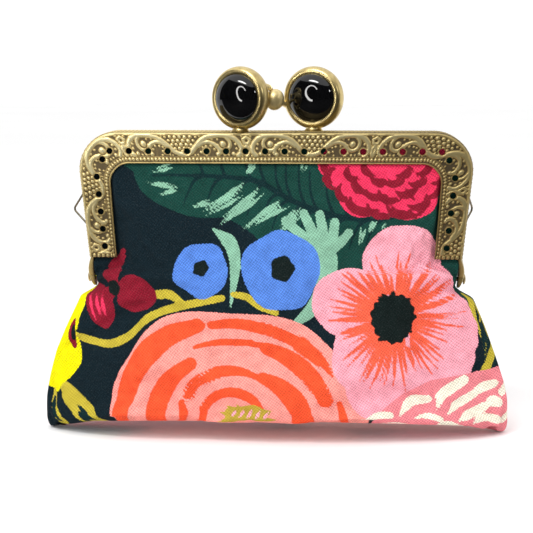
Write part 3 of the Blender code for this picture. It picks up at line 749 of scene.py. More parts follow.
def build_clasp(polished, bright, resin):
    for hand, body, yaw in KNOBS:
        centre = stone_middle(hand)
        facing = knob_facing(yaw)
        bezel = turned(
            f"{hand}_polished_bezel", bezel_profile(), centre, facing, 96, polished, True, math.radians(60)
        )
        foot_profile = []
        for step in range(14):
            share = step / 13
            waist = 1.9 + 1.0 * (1 - share) ** 3 + 0.6 * share**4
            foot_profile.append((share * 1.7 * MM, waist * MM))
        foot_place = (centre.x, centre.y, FRAME_TOP + 0.15 * MM)
        foot = turned("foot", foot_profile, foot_place, (0, 0, 1), 40, polished)
        settle(joined(bezel, foot), body, "polished_brass", f"{hand}_knob_bezel")
        for place_name, direction in (("front", facing), ("rear", -facing)):
            profile = [(STONE_BASE - 0.4 * MM, STONE_RADIUS - 0.25 * MM)]
            for turn in arc(0, 86.25, 23):
                along = STONE_BASE + STONE_RISE * math.sin(turn)
                profile.append((along, STONE_RADIUS * math.cos(turn) ** 0.9))
            profile.append((STONE_BASE + STONE_RISE, 0.05 * MM))
            stone = turned(
                f"{hand}_{place_name}_stone", profile, centre, direction, 80, resin, False, math.radians(50)
            )
            settle(stone, body, "black_resin", f"{hand}_{place_name}_cabochon")
    necks = (
        ("left", "front_frame", (-3.0, -3.9, 93.6), (-1.6, -3.0, 93.4), (-0.2, 3.2, 91.0), 1.35, 1.0),
        ("right", "rear_frame", (2.6, 4.6, 88.9), (1.3, 3.2, 89.2), (-0.2, -2.4, 90.2), 2.55, 1.12),
    )
    for hand, body, root, start, bead, radius, stretch in necks:
        root, start, bead = (Vector(point) * MM for point in (root, start, bead))
        along = (bead - start).normalized()
        reach = (bead - start).length
        neck_profile = [(0.0, 0.75 * MM), (reach * 0.4, 0.5 * MM), (reach, 0.45 * MM)]
        neck = turned("neck", neck_profile, start, along, 24, bright)
        stub_profile = [(0.0, 1.1 * MM), ((start - root).length, 0.75 * MM)]
        stub = turned("stub", stub_profile, root, start - root, 24, bright)
        profile = []
        for turn in arc(1.8, 178.2, 30):
            profile.append((-radius * MM * stretch * math.cos(turn), radius * MM * math.sin(turn)))
        tilt = Vector((0.22, 0, 1)) if stretch > 1 else along
        ball = turned(f"{hand}_round_catch", profile, bead, tilt, 48, bright, False, math.radians(60))
        settle(joined(ball, neck, stub), body, "polished_brass", f"{hand}_catch_bead")


# ---- strap rings and lugs ------------------------------------------------------------------------

RING_HALF_HEIGHT = 8.6 * MM
RING_REACH = 9.0 * MM
RING_CORNER = 1.0 * MM
WIRE_RADIUS = 0.3 * MM
CORD_RADIUS = 0.72 * MM
STRAP_HALF_HEIGHT = 1.3 * MM
STRAP_SECTION = ((-1.2, 0.0), (-1.25, -1.45), (1.0, -1.45), (1.15, 0.0))  # outwards and back, in mm


def rope_tube(name, route, radius, strands, turns, finish, closed, sides):
    """A twisted wire or cord along a route: its section is a rosette that turns as it runs."""
    points = []
    count = len(route)
    for number, point in enumerate(route):
        before = route[number - 1] if number or closed else route[0]
        after = route[(number + 1) % count] if number < count - 1 or closed else route[-1]
        along = (after - before).normalized()
        side = along.cross(Vector((0, 1, 0)))
        if side.length < 0.1:
            side = along.cross(Vector((0, 0, 1)))
        side.normalize()
        up = along.cross(side)
        for step in range(sides):
            turn = 2 * math.pi * step / sides
            swell = 0.8 + 0.2 * abs(math.cos(strands * (turn - 2 * math.pi * turns * number / count) / 2))
            points.append(point + radius * swell * (math.cos(turn) * side + math.sin(turn) * up))
    return tube(name, points, sides, finish, closed, math.radians(60))


def resampled(corners, spacing):
    """Evenly spaced points along a closed or open run of corners."""
    points = []
    for here, there in zip(corners, corners[1:]):
        steps = max(1, round((there - here).length / spacing))
        points += [here.lerp(there, step / steps) for step in range(steps)]
    return points


def build_rings(wire, plain):
    """Wire rings that hang back at rest, and the lugs that they swing in."""
    for hand, mirror, swing in (("left", -1, math.radians(34)), ("right", 1, math.radians(61))):
        joint = JOINTS[f"{hand}_ring_swing"]
        middle = Vector(joint["pos_m"])
        axis = Vector(joint["axis"]).normalized()
        outward = Vector((mirror * math.cos(ARM_LEAN), 0, -math.sin(ARM_LEAN)))
        reach = outward * math.cos(swing) + Vector((0, 1, 0)) * math.sin(swing)
        up = RING_HALF_HEIGHT * axis
        ends = (middle - up, middle + up, middle + RING_REACH * reach)
        corners = []
        for number in range(3):
            before, corner, after = ends[number - 1], ends[number], ends[(number + 1) % 3]
            into, out = (before - corner).normalized(), (after - corner).normalized()
            half = into.angle(out) / 2
            centre = corner + (into + out).normalized() * RING_CORNER / math.sin(half)
            first = corner + into * RING_CORNER / math.tan(half) - centre
            last = corner + out * RING_CORNER / math.tan(half) - centre
            for step in range(13):
                corners.append(centre + first.slerp(last, step / 12).normalized() * RING_CORNER)
        route = resampled(corners + corners[:1], 0.16 * MM)
        ring = rope_tube(f"{hand}_twisted_ring", route, WIRE_RADIUS, 2, 26, wire, True, 12)
        settle(ring, f"{hand}_ring", "antique_brass", f"{hand}_strap_ring")
        profile = []
        for turn in arc(0, 180, 16):
            profile.append((-1.75 * MM * math.cos(turn), (1.05 + 0.25 * math.sin(turn) ** 0.5) * MM))
        profile += [(1.7 * MM, 0.55 * MM), (-1.7 * MM, 0.55 * MM)]
        lug = turned(f"{hand}_barrel_lug", profile, middle, axis, 32, plain, True)
        strap_points = []
        for along in (-STRAP_HALF_HEIGHT, STRAP_HALF_HEIGHT):
            for out, back in STRAP_SECTION:
                strap_points.append(middle + axis * along + outward * out * MM + Vector((0, back * MM, 0)))
        strap = tube("strap", strap_points, len(STRAP_SECTION), plain, False, None)
        settle(joined(lug, strap), "rear_frame", "antique_brass", f"{hand}_ring_lug")


def build_cords(paper):
    """Twisted paper cord pressed into the root of each channel behind the cloth."""
    inset, depth, foot = 1.9 * MM, 1.65 * MM, 53.0 * MM
    for hand, side in (("front", -1), ("rear", 1)):
        runs = np.linspace(-HALF_RUN, HALF_RUN, 620)
        x, z = place(runs, np.full(runs.shape, inset))
        route = [Vector((a, side * depth, b)) for a, b in zip(x, z) if b > foot]
        cord = rope_tube(f"{hand}_twisted_paper_cord", route, CORD_RADIUS, 3, 60, paper, False, 18)
        settle(cord, f"{hand}_frame", "paper_cord", f"{hand}_paper_cord")


# ---- printed cloth -------------------------------------------------------------------------------


def linear(code):
    """Linear colour from a six-figure hex code."""
    parts = [int(code[start : start + 2], 16) / 255 for start in (0, 2, 4)]
    return tuple(part / 12.92 if part <= 0.04045 else ((part + 0.055) / 1.055) ** 2.4 for part in parts)


GROUND = linear("0c191f")
INK_CODES = {
    "teal": "18423a", "vein": "102c2e", "mint": "89ba9f", "olive": "c4b23c",
    "hot_pink": "f0385f", "crimson": "8a1b2e", "blue": "5785da", "yellow": "f7ec08",
    "coral": "ff9f95", "orange": "fd5a34", "gold": "bfa63e", "pale_pink": "ffabba",
    "rose_pink": "f68d95", "vermilion": "fd6549", "cream": "fff7e2", "black": "141f1e",
}
INKS = {name: linear(code) for name, code in INK_CODES.items()}
OUTSIDE = -5.0  # mm inside a shape, for what is well outside it


def smooth_route(route, steps=7):
    """Points along a smooth curve through the points of a route."""
    points = np.array(route, float)
    padded = np.vstack([2 * points[0] - points[1], points, 2 * points[-1] - points[-2]])
    curve = []
    for number in range(len(points) - 1):
        a, b, c, d = padded[number : number + 4]
        for step in range(steps):
            t = step / steps
            bend = 2 * b + (c - a) * t + (2 * a - 5 * b + 4 * c - d) * t**2 + (3 * b - a - 3 * c + d) * t**3
            curve.append(bend / 2)
    curve.append(points[-1])
    return np.array(curve)


class Print:
    """Inks of the printed cloth as distances inside each painted shape, in millimetres."""

    def __init__(self, x, z):
        self.x, self.z = x, z
        self.origin = np.zeros(2)
        self.inks = {name: np.full(x.shape, OUTSIDE) for name in INKS}
        self.rng = np.random.default_rng(21)

    def at(self, place, motif):
        """Draws a motif with its middle at a place on the cloth."""
        self.origin = np.array(place)
        motif()
        self.origin = np.zeros(2)

    def paint(self, ink, near, value):
        layer = self.inks[ink]
        layer[near] = np.maximum(layer[near], value)

    def wipe(self, ink, near, value):
        layer = self.inks[ink]
        layer[near] = np.minimum(layer[near], -value)

    def brush(self, route, widths, dry=0.0):
        """A brush stroke: where it is near, and how far inside its edge each point lies."""
        curve = smooth_route(self.origin + route)
        margin = max(widths) + 1.5
        low, high = curve.min(axis=0) - margin, curve.max(axis=0) + margin
        near = (self.x > low[0]) & (self.x < high[0]) & (self.z > low[1]) & (self.z < high[1])
        x, z = self.x[near], self.z[near]
        best = np.full(x.shape, FAR)
        along = np.zeros(x.shape)
        across = np.zeros(x.shape)
        count = len(curve) - 1
        for number in range(count):
            share, off_x, off_z = off_line(x, z, curve[number], curve[number + 1])
            dx, dz = curve[number + 1] - curve[number]
            distance = np.hypot(off_x, off_z)
            closer = distance < best
            best = np.where(closer, distance, best)
            along = np.where(closer, (number + share) / count, along)
            across = np.where(closer, np.sign(off_x * dz - off_z * dx) * distance, across)
        width = np.interp(along, np.linspace(0, 1, len(widths)), widths) / 2
        value = width - best
        if dry:
            seed = self.rng.uniform(0, 50)
            streak = np.sin(across * 5.1 + seed + 1.4 * along) + 0.7 * np.sin(across * 9.7 + seed * 1.7)
            patch = np.sin(along * 17 + seed + across)
            value = value - dry * ease(along, 0.25, 0.95) * np.clip(0.35 + 0.6 * streak + 0.3 * patch, 0, 2)
        return near, value

    def feather(self, ink, start, end, wide):
        """A dry-brush mark: a few tapering hairs side by side."""
        (ax, az), (bx, bz) = start, end
        length = math.hypot(bx - ax, bz - az)
        side_x, side_z = (az - bz) / length, (bx - ax) / length
        hairs = max(2, round(wide / 0.5))
        for number in range(hairs):
            off = wide * (number / (hairs - 1) - 0.5)
            first = self.rng.uniform(-0.14, 0.16)
            last = self.rng.uniform(0.8, 1.22)
            sag = self.rng.uniform(-0.3, 0.3)
            route = []
            for share in (first, (first + last) / 2, last):
                spread = off * (1.15 - 0.45 * share)
                bow = sag if share not in (first, last) else 0.0
                x = ax + (bx - ax) * share + side_x * (spread + bow)
                route.append((x, az + (bz - az) * share + side_z * (spread + bow)))
            thick = self.rng.uniform(0.6, 1.05)
            self.stroke(ink, route, (thick * 0.2, thick, thick * 0.8, 0.1), 0.15)

    def stroke(self, ink, route, widths, dry=0.0):
        self.paint(ink, *self.brush(route, widths, dry))

    def gap(self, ink, route, widths, dry=0.0):
        self.wipe(ink, *self.brush(route, widths, dry))

    def blob(self, ink, centre, radii, turn=0.0, lobes=0, depth=0.0, phase=0.0):
        """A rounded shape with lobes round its edge."""
        centre = self.origin + centre
        dx, dz = self.x - centre[0], self.z - centre[1]
        cos, sin = math.cos(math.radians(turn)), math.sin(math.radians(turn))
        across, up = (dx * cos + dz * sin) / radii[0], (dz * cos - dx * sin) / radii[1]
        reach = np.hypot(across, up) + 1e-6
        angle = np.arctan2(up, across)
        edge = 1 + depth * np.cos(lobes * angle + phase) + 0.02 * np.sin(3 * angle + centre[0])
        edge = edge + 0.012 * np.sin(7 * angle + centre[1])
        value = np.hypot(dx, dz) * (edge / reach - 1)
        near = value > OUTSIDE
        self.paint(ink, near, value[near])

    def sweep(self, ink, centre, radii, start, end, widths, dry):
        """A stroke along part of an oval."""
        route = []
        for turn in arc(start, end, 5):
            route.append((centre[0] + radii[0] * math.cos(turn), centre[1] + radii[1] * math.sin(turn)))
        self.stroke(ink, route, widths, dry)

    def bloom(self, centre, radii, eye, eye_radius, turn=0.0):
        """A round blue flower with a dark eye."""
        self.blob("blue", centre, radii, turn, 5, 0.03, 1.2)
        self.blob("black", eye, (eye_radius, eye_radius * 1.1), 0, 5, 0.07)

    def rose(self):
        """A full-blown rose: rings of brush strokes round a gold middle."""
        self.blob("coral", (-0.2, 4.0), (34.4, 27.6), 0, 6, 0.015)
        self.blob("coral", (24, -2), (12.4, 16))
        rings = (
            ((31.2, 28.4), 189, 108, (2.8, 6.6, 6.8, 4.2), 0.3),
            ((30.5, 27.6), 101, 52, (2.4, 3.4, 4.2), 0.9),
            ((31.0, 27.0), 55, 30, (4.0, 3.6, 1.2), 0.9),
            ((27.5, 22.6), 112, 66, (1.0, 2.2, 3.0), 1.2),
            ((26.0, 22.4), 70, 18, (3.4, 5.2, 4.6), 0.6),
            ((21.3, 19.4), 122, 184, (3.4, 5.4, 5.8), 0.4),
            ((14.7, 14.8), 60, 150, (1.2, 3.6, 4.2), 1.6),
            ((19.0, 14.4), 65, 2, (3.0, 5.8, 6.4), 0.5),
            ((29.8, 22.0), 16, -4, (1.4, 3.2), 0.6),
            ((8.8, 9.0), 16, 190, (2.0, 2.8, 3.0, 2.6), 0.6),
        )
        for radii, start, end, widths, dry in rings:
            self.sweep("orange", (0, 0), radii, start, end, widths, dry)
        self.stroke("orange", [(-14.4, 5), (-13.6, 1.5), (-14.6, -3)], (1.6, 2.6, 2.6), 0.8)
        self.blob("gold", (3.6, 3.0), (6.2, 2.4), 6, 5, 0.08)
        reaches = (8.2, 7.2, 6.4, 4.6, 3.8, 4.0, 5.4, 7.6, 8.2)
        for angle, reach in zip((200, 176, 152, 124, 98, 70, 44, 18, -8), reaches):
            turn = math.radians(angle)
            tip = (3.6 + reach * math.cos(turn), 2.4 + 0.8 * reach * math.sin(turn))
            self.stroke("gold", [(3.6, 2.4), tip], (2.0, 2.0, 0.5), 0.3)
        for number in range(5):
            x = 2.2 * number - 0.4
            self.stroke("pale_pink", [(x, 2.0), (x + 1.2, 4.4 - 0.3 * abs(number - 2))], (0.5, 0.9, 0.3))

    def anemone(self):
        """A wide pale flower with rays round a dark middle."""
        petals = (
            ((2.6, 15.2), (11.3, 10.2), 20),
            ((10.6, 5.6), (8.0, 10.4), 24),
            ((13.6, -12.6), (9.4, 8.6), 0),
            ((-4.4, -15.8), (8.6, 12.0), 0),
            ((13.8, -4.8), (10.2, 11.6), -8),
            ((4.8, -18.2), (14.6, 11.6), 4),
            ((-6.4, -8.0), (9.5, 12.0), -32),
            ((-11.6, 4.6), (10.4, 9.2), 12),
        )
        for petal in petals:
            self.blob("pale_pink", *petal)
        rays, eye_edge = 62, 5.0
        for number in range(rays):
            angle = math.radians(number * 360 / rays + self.rng.uniform(-2.5, 2.5))
            reach = 14.0 + 6.6 * self.rng.uniform() + 1.2 * math.sin(angle * 3 + 1.0)
            bend = self.rng.uniform(-0.05, 0.05)
            route = []
            for share in (0.0, 0.5, 1.0):
                radius = mix(eye_edge, reach, share)
                turn = angle + bend * share
                route.append((radius * math.cos(turn), radius * math.sin(turn)))
            wide = self.rng.uniform(0.75, 1.2)
            self.stroke("vermilion", route, (wide * 1.2, wide, wide * 0.8, 0.4), 0.1)
        self.inks["vermilion"] = np.minimum(self.inks["vermilion"], self.inks["pale_pink"] - 0.9)
        self.blob("black", (0, 0), (6.2, 6.5), 0, 15, 0.045)
        for _ in range(7):
            angle = self.rng.uniform(0, 2 * math.pi)
            self.blob("black", (6.5 * math.cos(angle), 6.8 * math.sin(angle)), (0.55, 0.55))

    def peony(self):
        """A ruffled flower: crimson scallops on hot pink."""
        self.blob("hot_pink", (0, 0), (17.6, 13.0), -3, 9, 0.035, 2.0)
        self.blob("hot_pink", (-6.4, -8.6), (6.8, 6.0), 0, 3, 0.05)
        self.blob("hot_pink", (6.6, -8.8), (7.2, 6.0), 0, 3, 0.05)
        for radius, count, size in ((3.4, 4, 2.6), (7.6, 7, 3.2), (11.9, 9, 3.6)):
            for number in range(count):
                angle = math.radians(176 + 188 * (number + 0.5) / count + 9 * math.sin(radius))
                spot = (radius * 1.12 * math.cos(angle), radius * 0.92 * math.sin(angle))
                facing = math.degrees(angle) + self.rng.uniform(-24, 24)
                wide = size * self.rng.uniform(0.85, 1.15)
                radii = (wide, wide * 0.8)
                self.sweep("crimson", spot, radii, facing - 80, facing + 66, (0.6, 2.0, 2.7, 0.8), 0.9)
        for x, z in ((-6.2, -10.2), (6.2, -10.6)):
            self.sweep("crimson", (x, z), (5.0, 3.0), 198, 322, (0.8, 2.2, 2.6, 0.8), 0.8)
            self.stroke("crimson", [(x - 1, z + 4), (x + 1.4, z + 1)], (0.5, 1.7, 0.4), 0.6)

    def great_leaf(self):
        """The large leaf across the top, with its veins and pale brush marks."""
        spine = [(-42, 72.5), (-21, 70.2), (-2, 66.0), (15, 59.6), (34, 58.8), (56, 54.0)]
        self.stroke("teal", spine, (1, 15, 22, 33, 38, 44, 46))
        self.blob("teal", (48, 52), (22, 17))
        self.blob("teal", (-24, 67.8), (17.0, 8.4), -18)
        rib = [
            (-35, 69.8), (-21, 69.8), (-8, 68.8), (0.5, 64.8),
            (7, 61.4), (14.5, 58.9), (24, 57.8), (34, 59.0),
        ]
        self.stroke("vein", rib, (0.5, 0.9, 1.4, 1.5, 1.6, 1.2, 0.4))
        curve = smooth_route(rib)
        for number in range(2, 14):
            x, z = curve[int(number * (len(curve) - 1) / 14)]
            self.stroke("vein", [(x, z), (x - 2.6, z - 2.2), (x - 4.6, z - 8.0)], (1.0, 0.7, 0.3))
            self.stroke("vein", [(x + 0.6, z), (x - 1.0, z + 4.5), (x - 1.4, z + 11.0)], (0.9, 0.6, 0.4))
        marks = (
            ((-27.5, 66.8), (-36.0, 68.0), 0.8), ((-27.4, 66.3), (-32.4, 64.7), 0.9),
            ((-29.0, 72.4), (-34.0, 71.0), 0.9), ((-18.1, 63.1), (-23.8, 60.9), 0.9),
            ((-9.8, 66.8), (-19.1, 61.4), 1.3), ((-10.4, 64.8), (-18.3, 59.9), 0.9),
            ((-5.3, 64.9), (-15.2, 57.7), 1.9), ((2.4, 62.2), (-8.7, 55.6), 2.1),
            ((6.0, 59.9), (1.0, 55.2), 1.9), ((-6.8, 73.6), (-8.4, 70.0), 1.2),
            ((7.2, 72.8), (6.4, 70.8), 0.9), ((23.0, 55.4), (22.4, 51.6), 1.0),
            ((29.6, 56.6), (28.0, 54.6), 0.8), ((26.0, 57.4), (25.0, 54.4), 0.8),
        )
        for start, end, wide in marks:
            self.feather("mint", start, end, wide * 1.15)

    def hand_leaf(self):
        """A pale leaf with finger-like tips beside the large bloom."""
        stem = [(5.6, 30.4), (10.6, 35.0), (13.2, 41.5), (13.6, 47.5), (12.0, 51.5)]
        self.stroke("mint", stem, (2.2, 4.2, 4.8, 5.6, 5.0))
        fingers = (
            ((2.4, 57.4), (9.5, 50)),
            ((7.2, 59.2), (10.6, 50)),
            ((11.4, 59.0), (12, 50)),
            ((15.4, 57.0), (13.4, 50)),
            ((19.2, 54.2), (14, 49.5)),
        )
        for tip, root in fingers:
            middle = ((tip[0] + root[0]) / 2 + 0.5, (tip[1] + root[1]) / 2)
            self.stroke("mint", [root, middle, tip], (3.4, 2.7, 2.3))

    def small_flower(self):
        """A three-petalled crimson flower."""
        self.stroke("crimson", [(0, 1), (-0.6, 4.6), (2.0, 10.4)], (2.8, 5.2, 4.6, 1.3))
        self.blob("crimson", (6.2, -1.6), (5.4, 5.2), -20, 3, 0.06)
        self.blob("crimson", (-4.5, -4.9), (4.0, 6.3), 22, 3, 0.07)
        self.stroke("crimson", [(-0.4, -0.6), (-3.2, -3.2)], (2.6, 4.6))
        self.blob("hot_pink", (-4.5, -4.9), (3.4, 5.6), 22)
        for x in (-7.3, -5.3, -3.7):
            self.gap("crimson", [(x, -0.9), (x + 0.5, -5.2), (x + 1.9, -9.2)], (0.2, 1.3, 0.3), 0.4)
        self.blob("black", (0, 0), (1.9, 2.0), 0, 5, 0.06)

    def leaf(self, route, widths, stripes):
        """An olive leaf with darker stripes, each given as a route across it."""
        self.stroke("olive", route, widths)
        self.stroke("vein", route, widths)
        for stripe in stripes:
            self.gap("olive", stripe, (0.5, 1.7, 1.4, 0.3), 0.3)

    def mum(self):
        """Cream strokes spreading over rose pink."""
        self.blob("rose_pink", (0, 0), (34.5, 18.2), 0, 9, 0.02)
        strokes = (
            ((-7.0, 16.2), (-13.0, 12.6), (-15.4, 8.0), 3.0), ((-4.2, 12.2), (-9.0, 9.6), (-12.8, 6.2), 2.4),
            ((1.4, 14.2), (-2.4, 13.4), (-4.6, 11.4), 2.6), ((-1.8, 8.2), (-6.2, 6.2), (-10.0, 4.2), 2.6),
            ((-17.6, 11.4), (-22.2, 10.6), (-25.8, 6.4), 2.8),
            ((-28.2, 6.8), (-32.0, 6.6), (-36.2, 4.4), 1.9),
            ((2.2, 9.0), (0.6, 9.4), (-1.4, 8.2), 3.0), ((1.4, 4.2), (-2.6, 5.0), (-5.8, 3.2), 2.6),
            ((-14.6, 5.0), (-18.4, 6.4), (-22.0, 5.6), 1.6), ((-9.0, 2.0), (-13.0, 3.6), (-17.0, 2.4), 2.0),
            ((6.0, 15.2), (3.8, 12.0), (3.0, 10.4), 2.0), ((8.0, 7.0), (5.6, 5.0), (4.0, 2.0), 2.2),
            ((-22.0, 2.6), (-27.0, 3.6), (-31.0, 2.4), 1.7),
        )
        for *route, wide in strokes:
            self.stroke("cream", route, (wide * 0.9, wide * 1.05, wide, 0.5), 0.4)

    def layout(self):
        """The motifs in their places on the cloth."""
        self.great_leaf()
        self.hand_leaf()
        stalk = (
            (-57, 24.6), (-51, 23.4), (-46.6, 23.2), (-41.4, 25.4),
            (-34.4, 30.6), (-27.6, 33.6), (-14.6, 36.8),
        )
        petal = ((-54.0, 41), (-56.8, 34), (-58.6, 25.5), (-58.6, 18), (-62.6, 8.6))
        strokes = (
            ("mint", [(-17.6, 55.8), (-12.6, 51.6), (-11.0, 45.5), (-12.2, 34.6)], (0.4, 3.6, 3.4, 2.4, 0.4)),
            ("mint", [(-11.6, 45.2), (-8.0, 45.1)], (0.7, 0.7)),
            ("olive", stalk, (2.4, 1.9, 2.3, 2.1, 2.2, 1.8)),
            ("olive", [(-38, 36.8), (-32.6, 36.8), (-29, 37.0), (-25.2, 34.8)], (1.8, 2.2, 2.4, 1.6)),
            ("olive", [(-11.6, 38), (-8, 37.3), (-4.4, 34.8), (0, 33)], (1.4, 1.9, 1.8, 1.4)),
            ("yellow", petal, (1.0, 6.4, 5.2, 6.4, 1.0)),
            ("mint", [(70.5, 40.0), (67.0, 47.0), (69.0, 54.0), (75.0, 57.0)], (0.4, 3.4, 3.8, 0.6)),
        )
        for ink, route, widths in strokes:
            self.stroke(ink, route, widths)
        self.at((-44.8, 38.5), self.small_flower)
        self.bloom((-20.4, 44.3), (7.4, 7.7), (-20.4, 45.0), 2.1)
        self.bloom((1.2, 44.2), (10.4, 10.6), (1.6, 44.8), 3.1, 32)
        self.blob("yellow", (-64.2, 25.0), (7.2, 15.5))
        self.stroke("crimson", [(-57.0, 28.6), (-57.6, 25.0), (-57.2, 21.2)], (1.2, 3.0, 1.2))
        self.blob("black", (-57.0, 25.2), (0.75, 2.2))
        yellow, crimson = self.inks["yellow"], self.inks["crimson"]
        self.inks["yellow"] = np.minimum(yellow, np.where(self.x < -51, -crimson, 5.0))
        self.leaf(
            [(-61.6, 12.6), (-58.6, 8.2), (-53.4, 3.2), (-48.4, -2.0)],
            (1.0, 4.6, 5.6, 3.6),
            ([(-55.8, 5.2), (-52.4, 2.2), (-49.4, 0.4)], [(-55.2, 3.2), (-52.2, 0.4), (-50.2, -1.6)]),
        )
        self.leaf(
            [(-63.4, 10.0), (-62.8, 4.5), (-59.4, -1.5)],
            (0.4, 1.9, 1.9),
            ([(-63.2, 7), (-62.6, 3), (-59.8, -1)],),
        )
        self.at((-11.5, 2.2), self.rose)
        self.at((29.6, 73.0), self.peony)
        self.leaf(
            [(52.6, 37.0), (57.4, 30.0), (60.2, 22.0), (55.6, 11.6)],
            (0.8, 5.2, 6.8, 0.6),
            (
                [(55.6, 33.6), (57.4, 26.0), (57.0, 18.6)],
                [(61.4, 25.4), (59.0, 22.8), (57.2, 18.0)],
                [(58.8, 30.6), (58.6, 26), (57.4, 22)],
                [(62.0, 21.0), (59.8, 16.0), (57.0, 12.6)],
            ),
        )
        self.at((31.4, 31.2), self.anemone)
        self.at((59.0, -2.4), self.mum)
        self.at((98.0, 30.0), self.rose)
        self.bloom((76.5, 62.0), (9.6, 9.4), (76.2, 62.2), 2.9, 20)
        self.stroke("olive", [(58, 44), (63, 50), (68, 53), (72, 57)], (1.6, 2.0, 2.1, 1.6))
        self.at((60.5, 49.0), self.small_flower)


# ---- cloth panels --------------------------------------------------------------------------------


def panel_half_width(z):
    """Half the width of a panel, from the flared base to the edge held in the channel."""
    flare = BASE_HALF_WIDTH - NECK_TAPER * (np.maximum(z, 0.0) / (38 * MM)) ** 1.45
    flare = flare + HIP_BULGE * np.sin(math.pi * np.clip(z / (44 * MM), 0.0, 1.0))
    held = edge_x(z, PANEL_EDGE_INSET) + NECK_PUFF * ease(-z, -49 * MM, -47.2 * MM)
    return mix(flare, held, ease(z, 36.5 * MM, 40.5 * MM))


def held_share(z):
    """0 where the panel's side edge is in the side seam, 1 where it is in the channel."""
    return ease(z, 39 * MM, 45 * MM)


def belly(z):
    """How far forward the middle of the panel swells at each height."""
    rise = np.clip(z / (FRAME_TOP - WINDOW_INSET), 0.0, 1.0)
    return PANEL_EDGE_Y + (BASE_HALF_DEPTH - PANEL_EDGE_Y) * (1 - rise**2.2) ** 0.8


def panel_profile(down):
    """Height and turn round the base edge at each share of the way from the channel to the base seam."""
    bend = BASE_ROUNDING
    lengths = (PANEL_TOP - bend, bend * math.pi / 2, BASE_HALF_DEPTH - bend)
    way = down * sum(lengths)
    z = np.maximum(PANEL_TOP - way, bend)
    turn = np.clip((way - lengths[0]) / lengths[1], 0.0, 1.0) * math.pi / 2
    under = np.clip((way - lengths[0] - lengths[1]) / lengths[2], 0.0, 1.0)
    return z, turn, under, way


def panel_surface(down, across):
    """Points of the front panel at shares down and across it, and its cloth coordinates."""
    z0, turn, under, way = panel_profile(down)
    half = panel_half_width(z0) - CORNER_CLIP * (1 - np.cos(turn) + under)
    depth = belly(z0) - BASE_ROUNDING * (1 - np.cos(turn))
    z = np.where(turn > 0, BASE_ROUNDING * (1 - np.sin(turn)), z0)
    held = held_share(z0)
    edge = mix(SEAM_Y, PANEL_EDGE_Y, held)
    inside = edge_x(z0, WINDOW_INSET)
    window = mix(half, inside, ease(z0, 42.5 * MM, 46.5 * MM))
    free = np.minimum(window, 0.94 * half)
    side = np.sign(across)
    share = np.abs(across)
    edging = mix(free, half, (share - FREE_SHARE) / (1 - FREE_SHARE))
    x = np.where(share < FREE_SHARE, free * share / FREE_SHARE, edging)
    power = 3.0 + 2.0 * held
    swell = (1 - np.clip(x / window, 0.0, 1.0) ** power) ** 0.6
    y = mix(edge, depth, swell)
    to_edge = np.minimum(FRAME_TOP - z0, (edge_x(z0, 0.0) - x) * math.cos(ARM_LEAN))
    pressed = ease(-to_edge, -8.6 * MM, -7.2 * MM) * ease(z0, 46 * MM, 49 * MM)
    y = mix(y - CHANNEL_STEP * pressed, SEAM_Y, under)
    arch = BASE_ARCH * (1 - share**2.5) * (1 - np.clip(z0 / (34 * MM), 0.0, 1.0)) ** 2
    points = np.stack([side * x, -np.maximum(y, SEAM_Y), z + arch], axis=-1)
    step = np.hypot(np.diff(x, axis=1), np.diff(y, axis=1))
    middle = x.shape[1] // 2
    run = np.zeros(x.shape)
    run[:, 1:] = np.cumsum(step, axis=1)
    run -= run[:, middle : middle + 1]
    beyond = share > FREE_SHARE
    at_free = np.abs(run[:, np.argmax(~beyond[0])])[:, None]
    cloth_u = np.where(beyond, free + np.maximum(np.abs(run) - at_free, 0.0), x) * side
    cloth_v = PANEL_TOP - way + arch
    return points, np.stack([cloth_u, cloth_v], axis=-1)


def layer_depths(points):
    """How far each side of the cloth, the fleece and the lining lies under the cloth's face."""
    z, y = points[..., 2], -points[..., 1]
    loose = ease(y, PANEL_EDGE_Y, PANEL_EDGE_Y + 2 * MM)
    loose = np.where(z < HINGE_Z, np.maximum(loose, ease(-z, -48 * MM, -38 * MM)), loose)
    gap = LAYER_GAP + 0.45 * MM * ease(z, 30 * MM, 38 * MM) * ease(-z, -56 * MM, -50 * MM)
    fleece = CLOTH + gap
    under = fleece + mix(PRESSED_FLEECE, FLEECE, loose)
    lining = under + LAYER_GAP
    return {
        "face": np.zeros(z.shape),
        "back": np.full(z.shape, CLOTH),
        "fleece": fleece,
        "under": under,
        "lining": lining,
        "inside": lining + LINING,
    }


def panel_shares(rows, columns, reach=1.0):
    """Grids of the shares down and across the panel, as far as reach of each."""
    return np.meshgrid(np.linspace(0, reach, rows), np.linspace(-reach, reach, columns), indexing="ij")


def picked(values, places):
    """An array's values at fractional places along its first axis, with a smooth curve between rows."""
    first = np.clip(places.astype(int), 0, len(values) - 2)
    t = (places - first).reshape(-1, *([1] * (values.ndim - 1)))
    a, b, c, d = [values[np.clip(first + shift, 0, len(values) - 1)] for shift in (-1, 0, 1, 2)]
    return b + 0.5 * t * (c - a + t * (2 * a - 5 * b + 4 * c - d + t * (3 * (b - c) + d - a)))


def smooth_noise(shape, cells, seed):
    """Smooth random field between about -1 and 1."""
    rng = np.random.default_rng(seed)
    coarse = rng.uniform(-1, 1, (cells[0] + 1, cells[1] + 1))
    rows = picked(coarse, np.linspace(0, cells[0], shape[0]))
    return picked(rows.swapaxes(0, 1), np.linspace(0, cells[1], shape[1])).swapaxes(0, 1)


def sampled(grid, down, across):
    """Values of a grid over the panel at other shares down and across it."""
    rows, columns = grid.shape[:2]
    row = down[:, 0] * (rows - 1)
    column = (across[0] + 1) / 2 * (columns - 1)
    return picked(picked(grid, row).swapaxes(0, 1), column).swapaxes(0, 1)


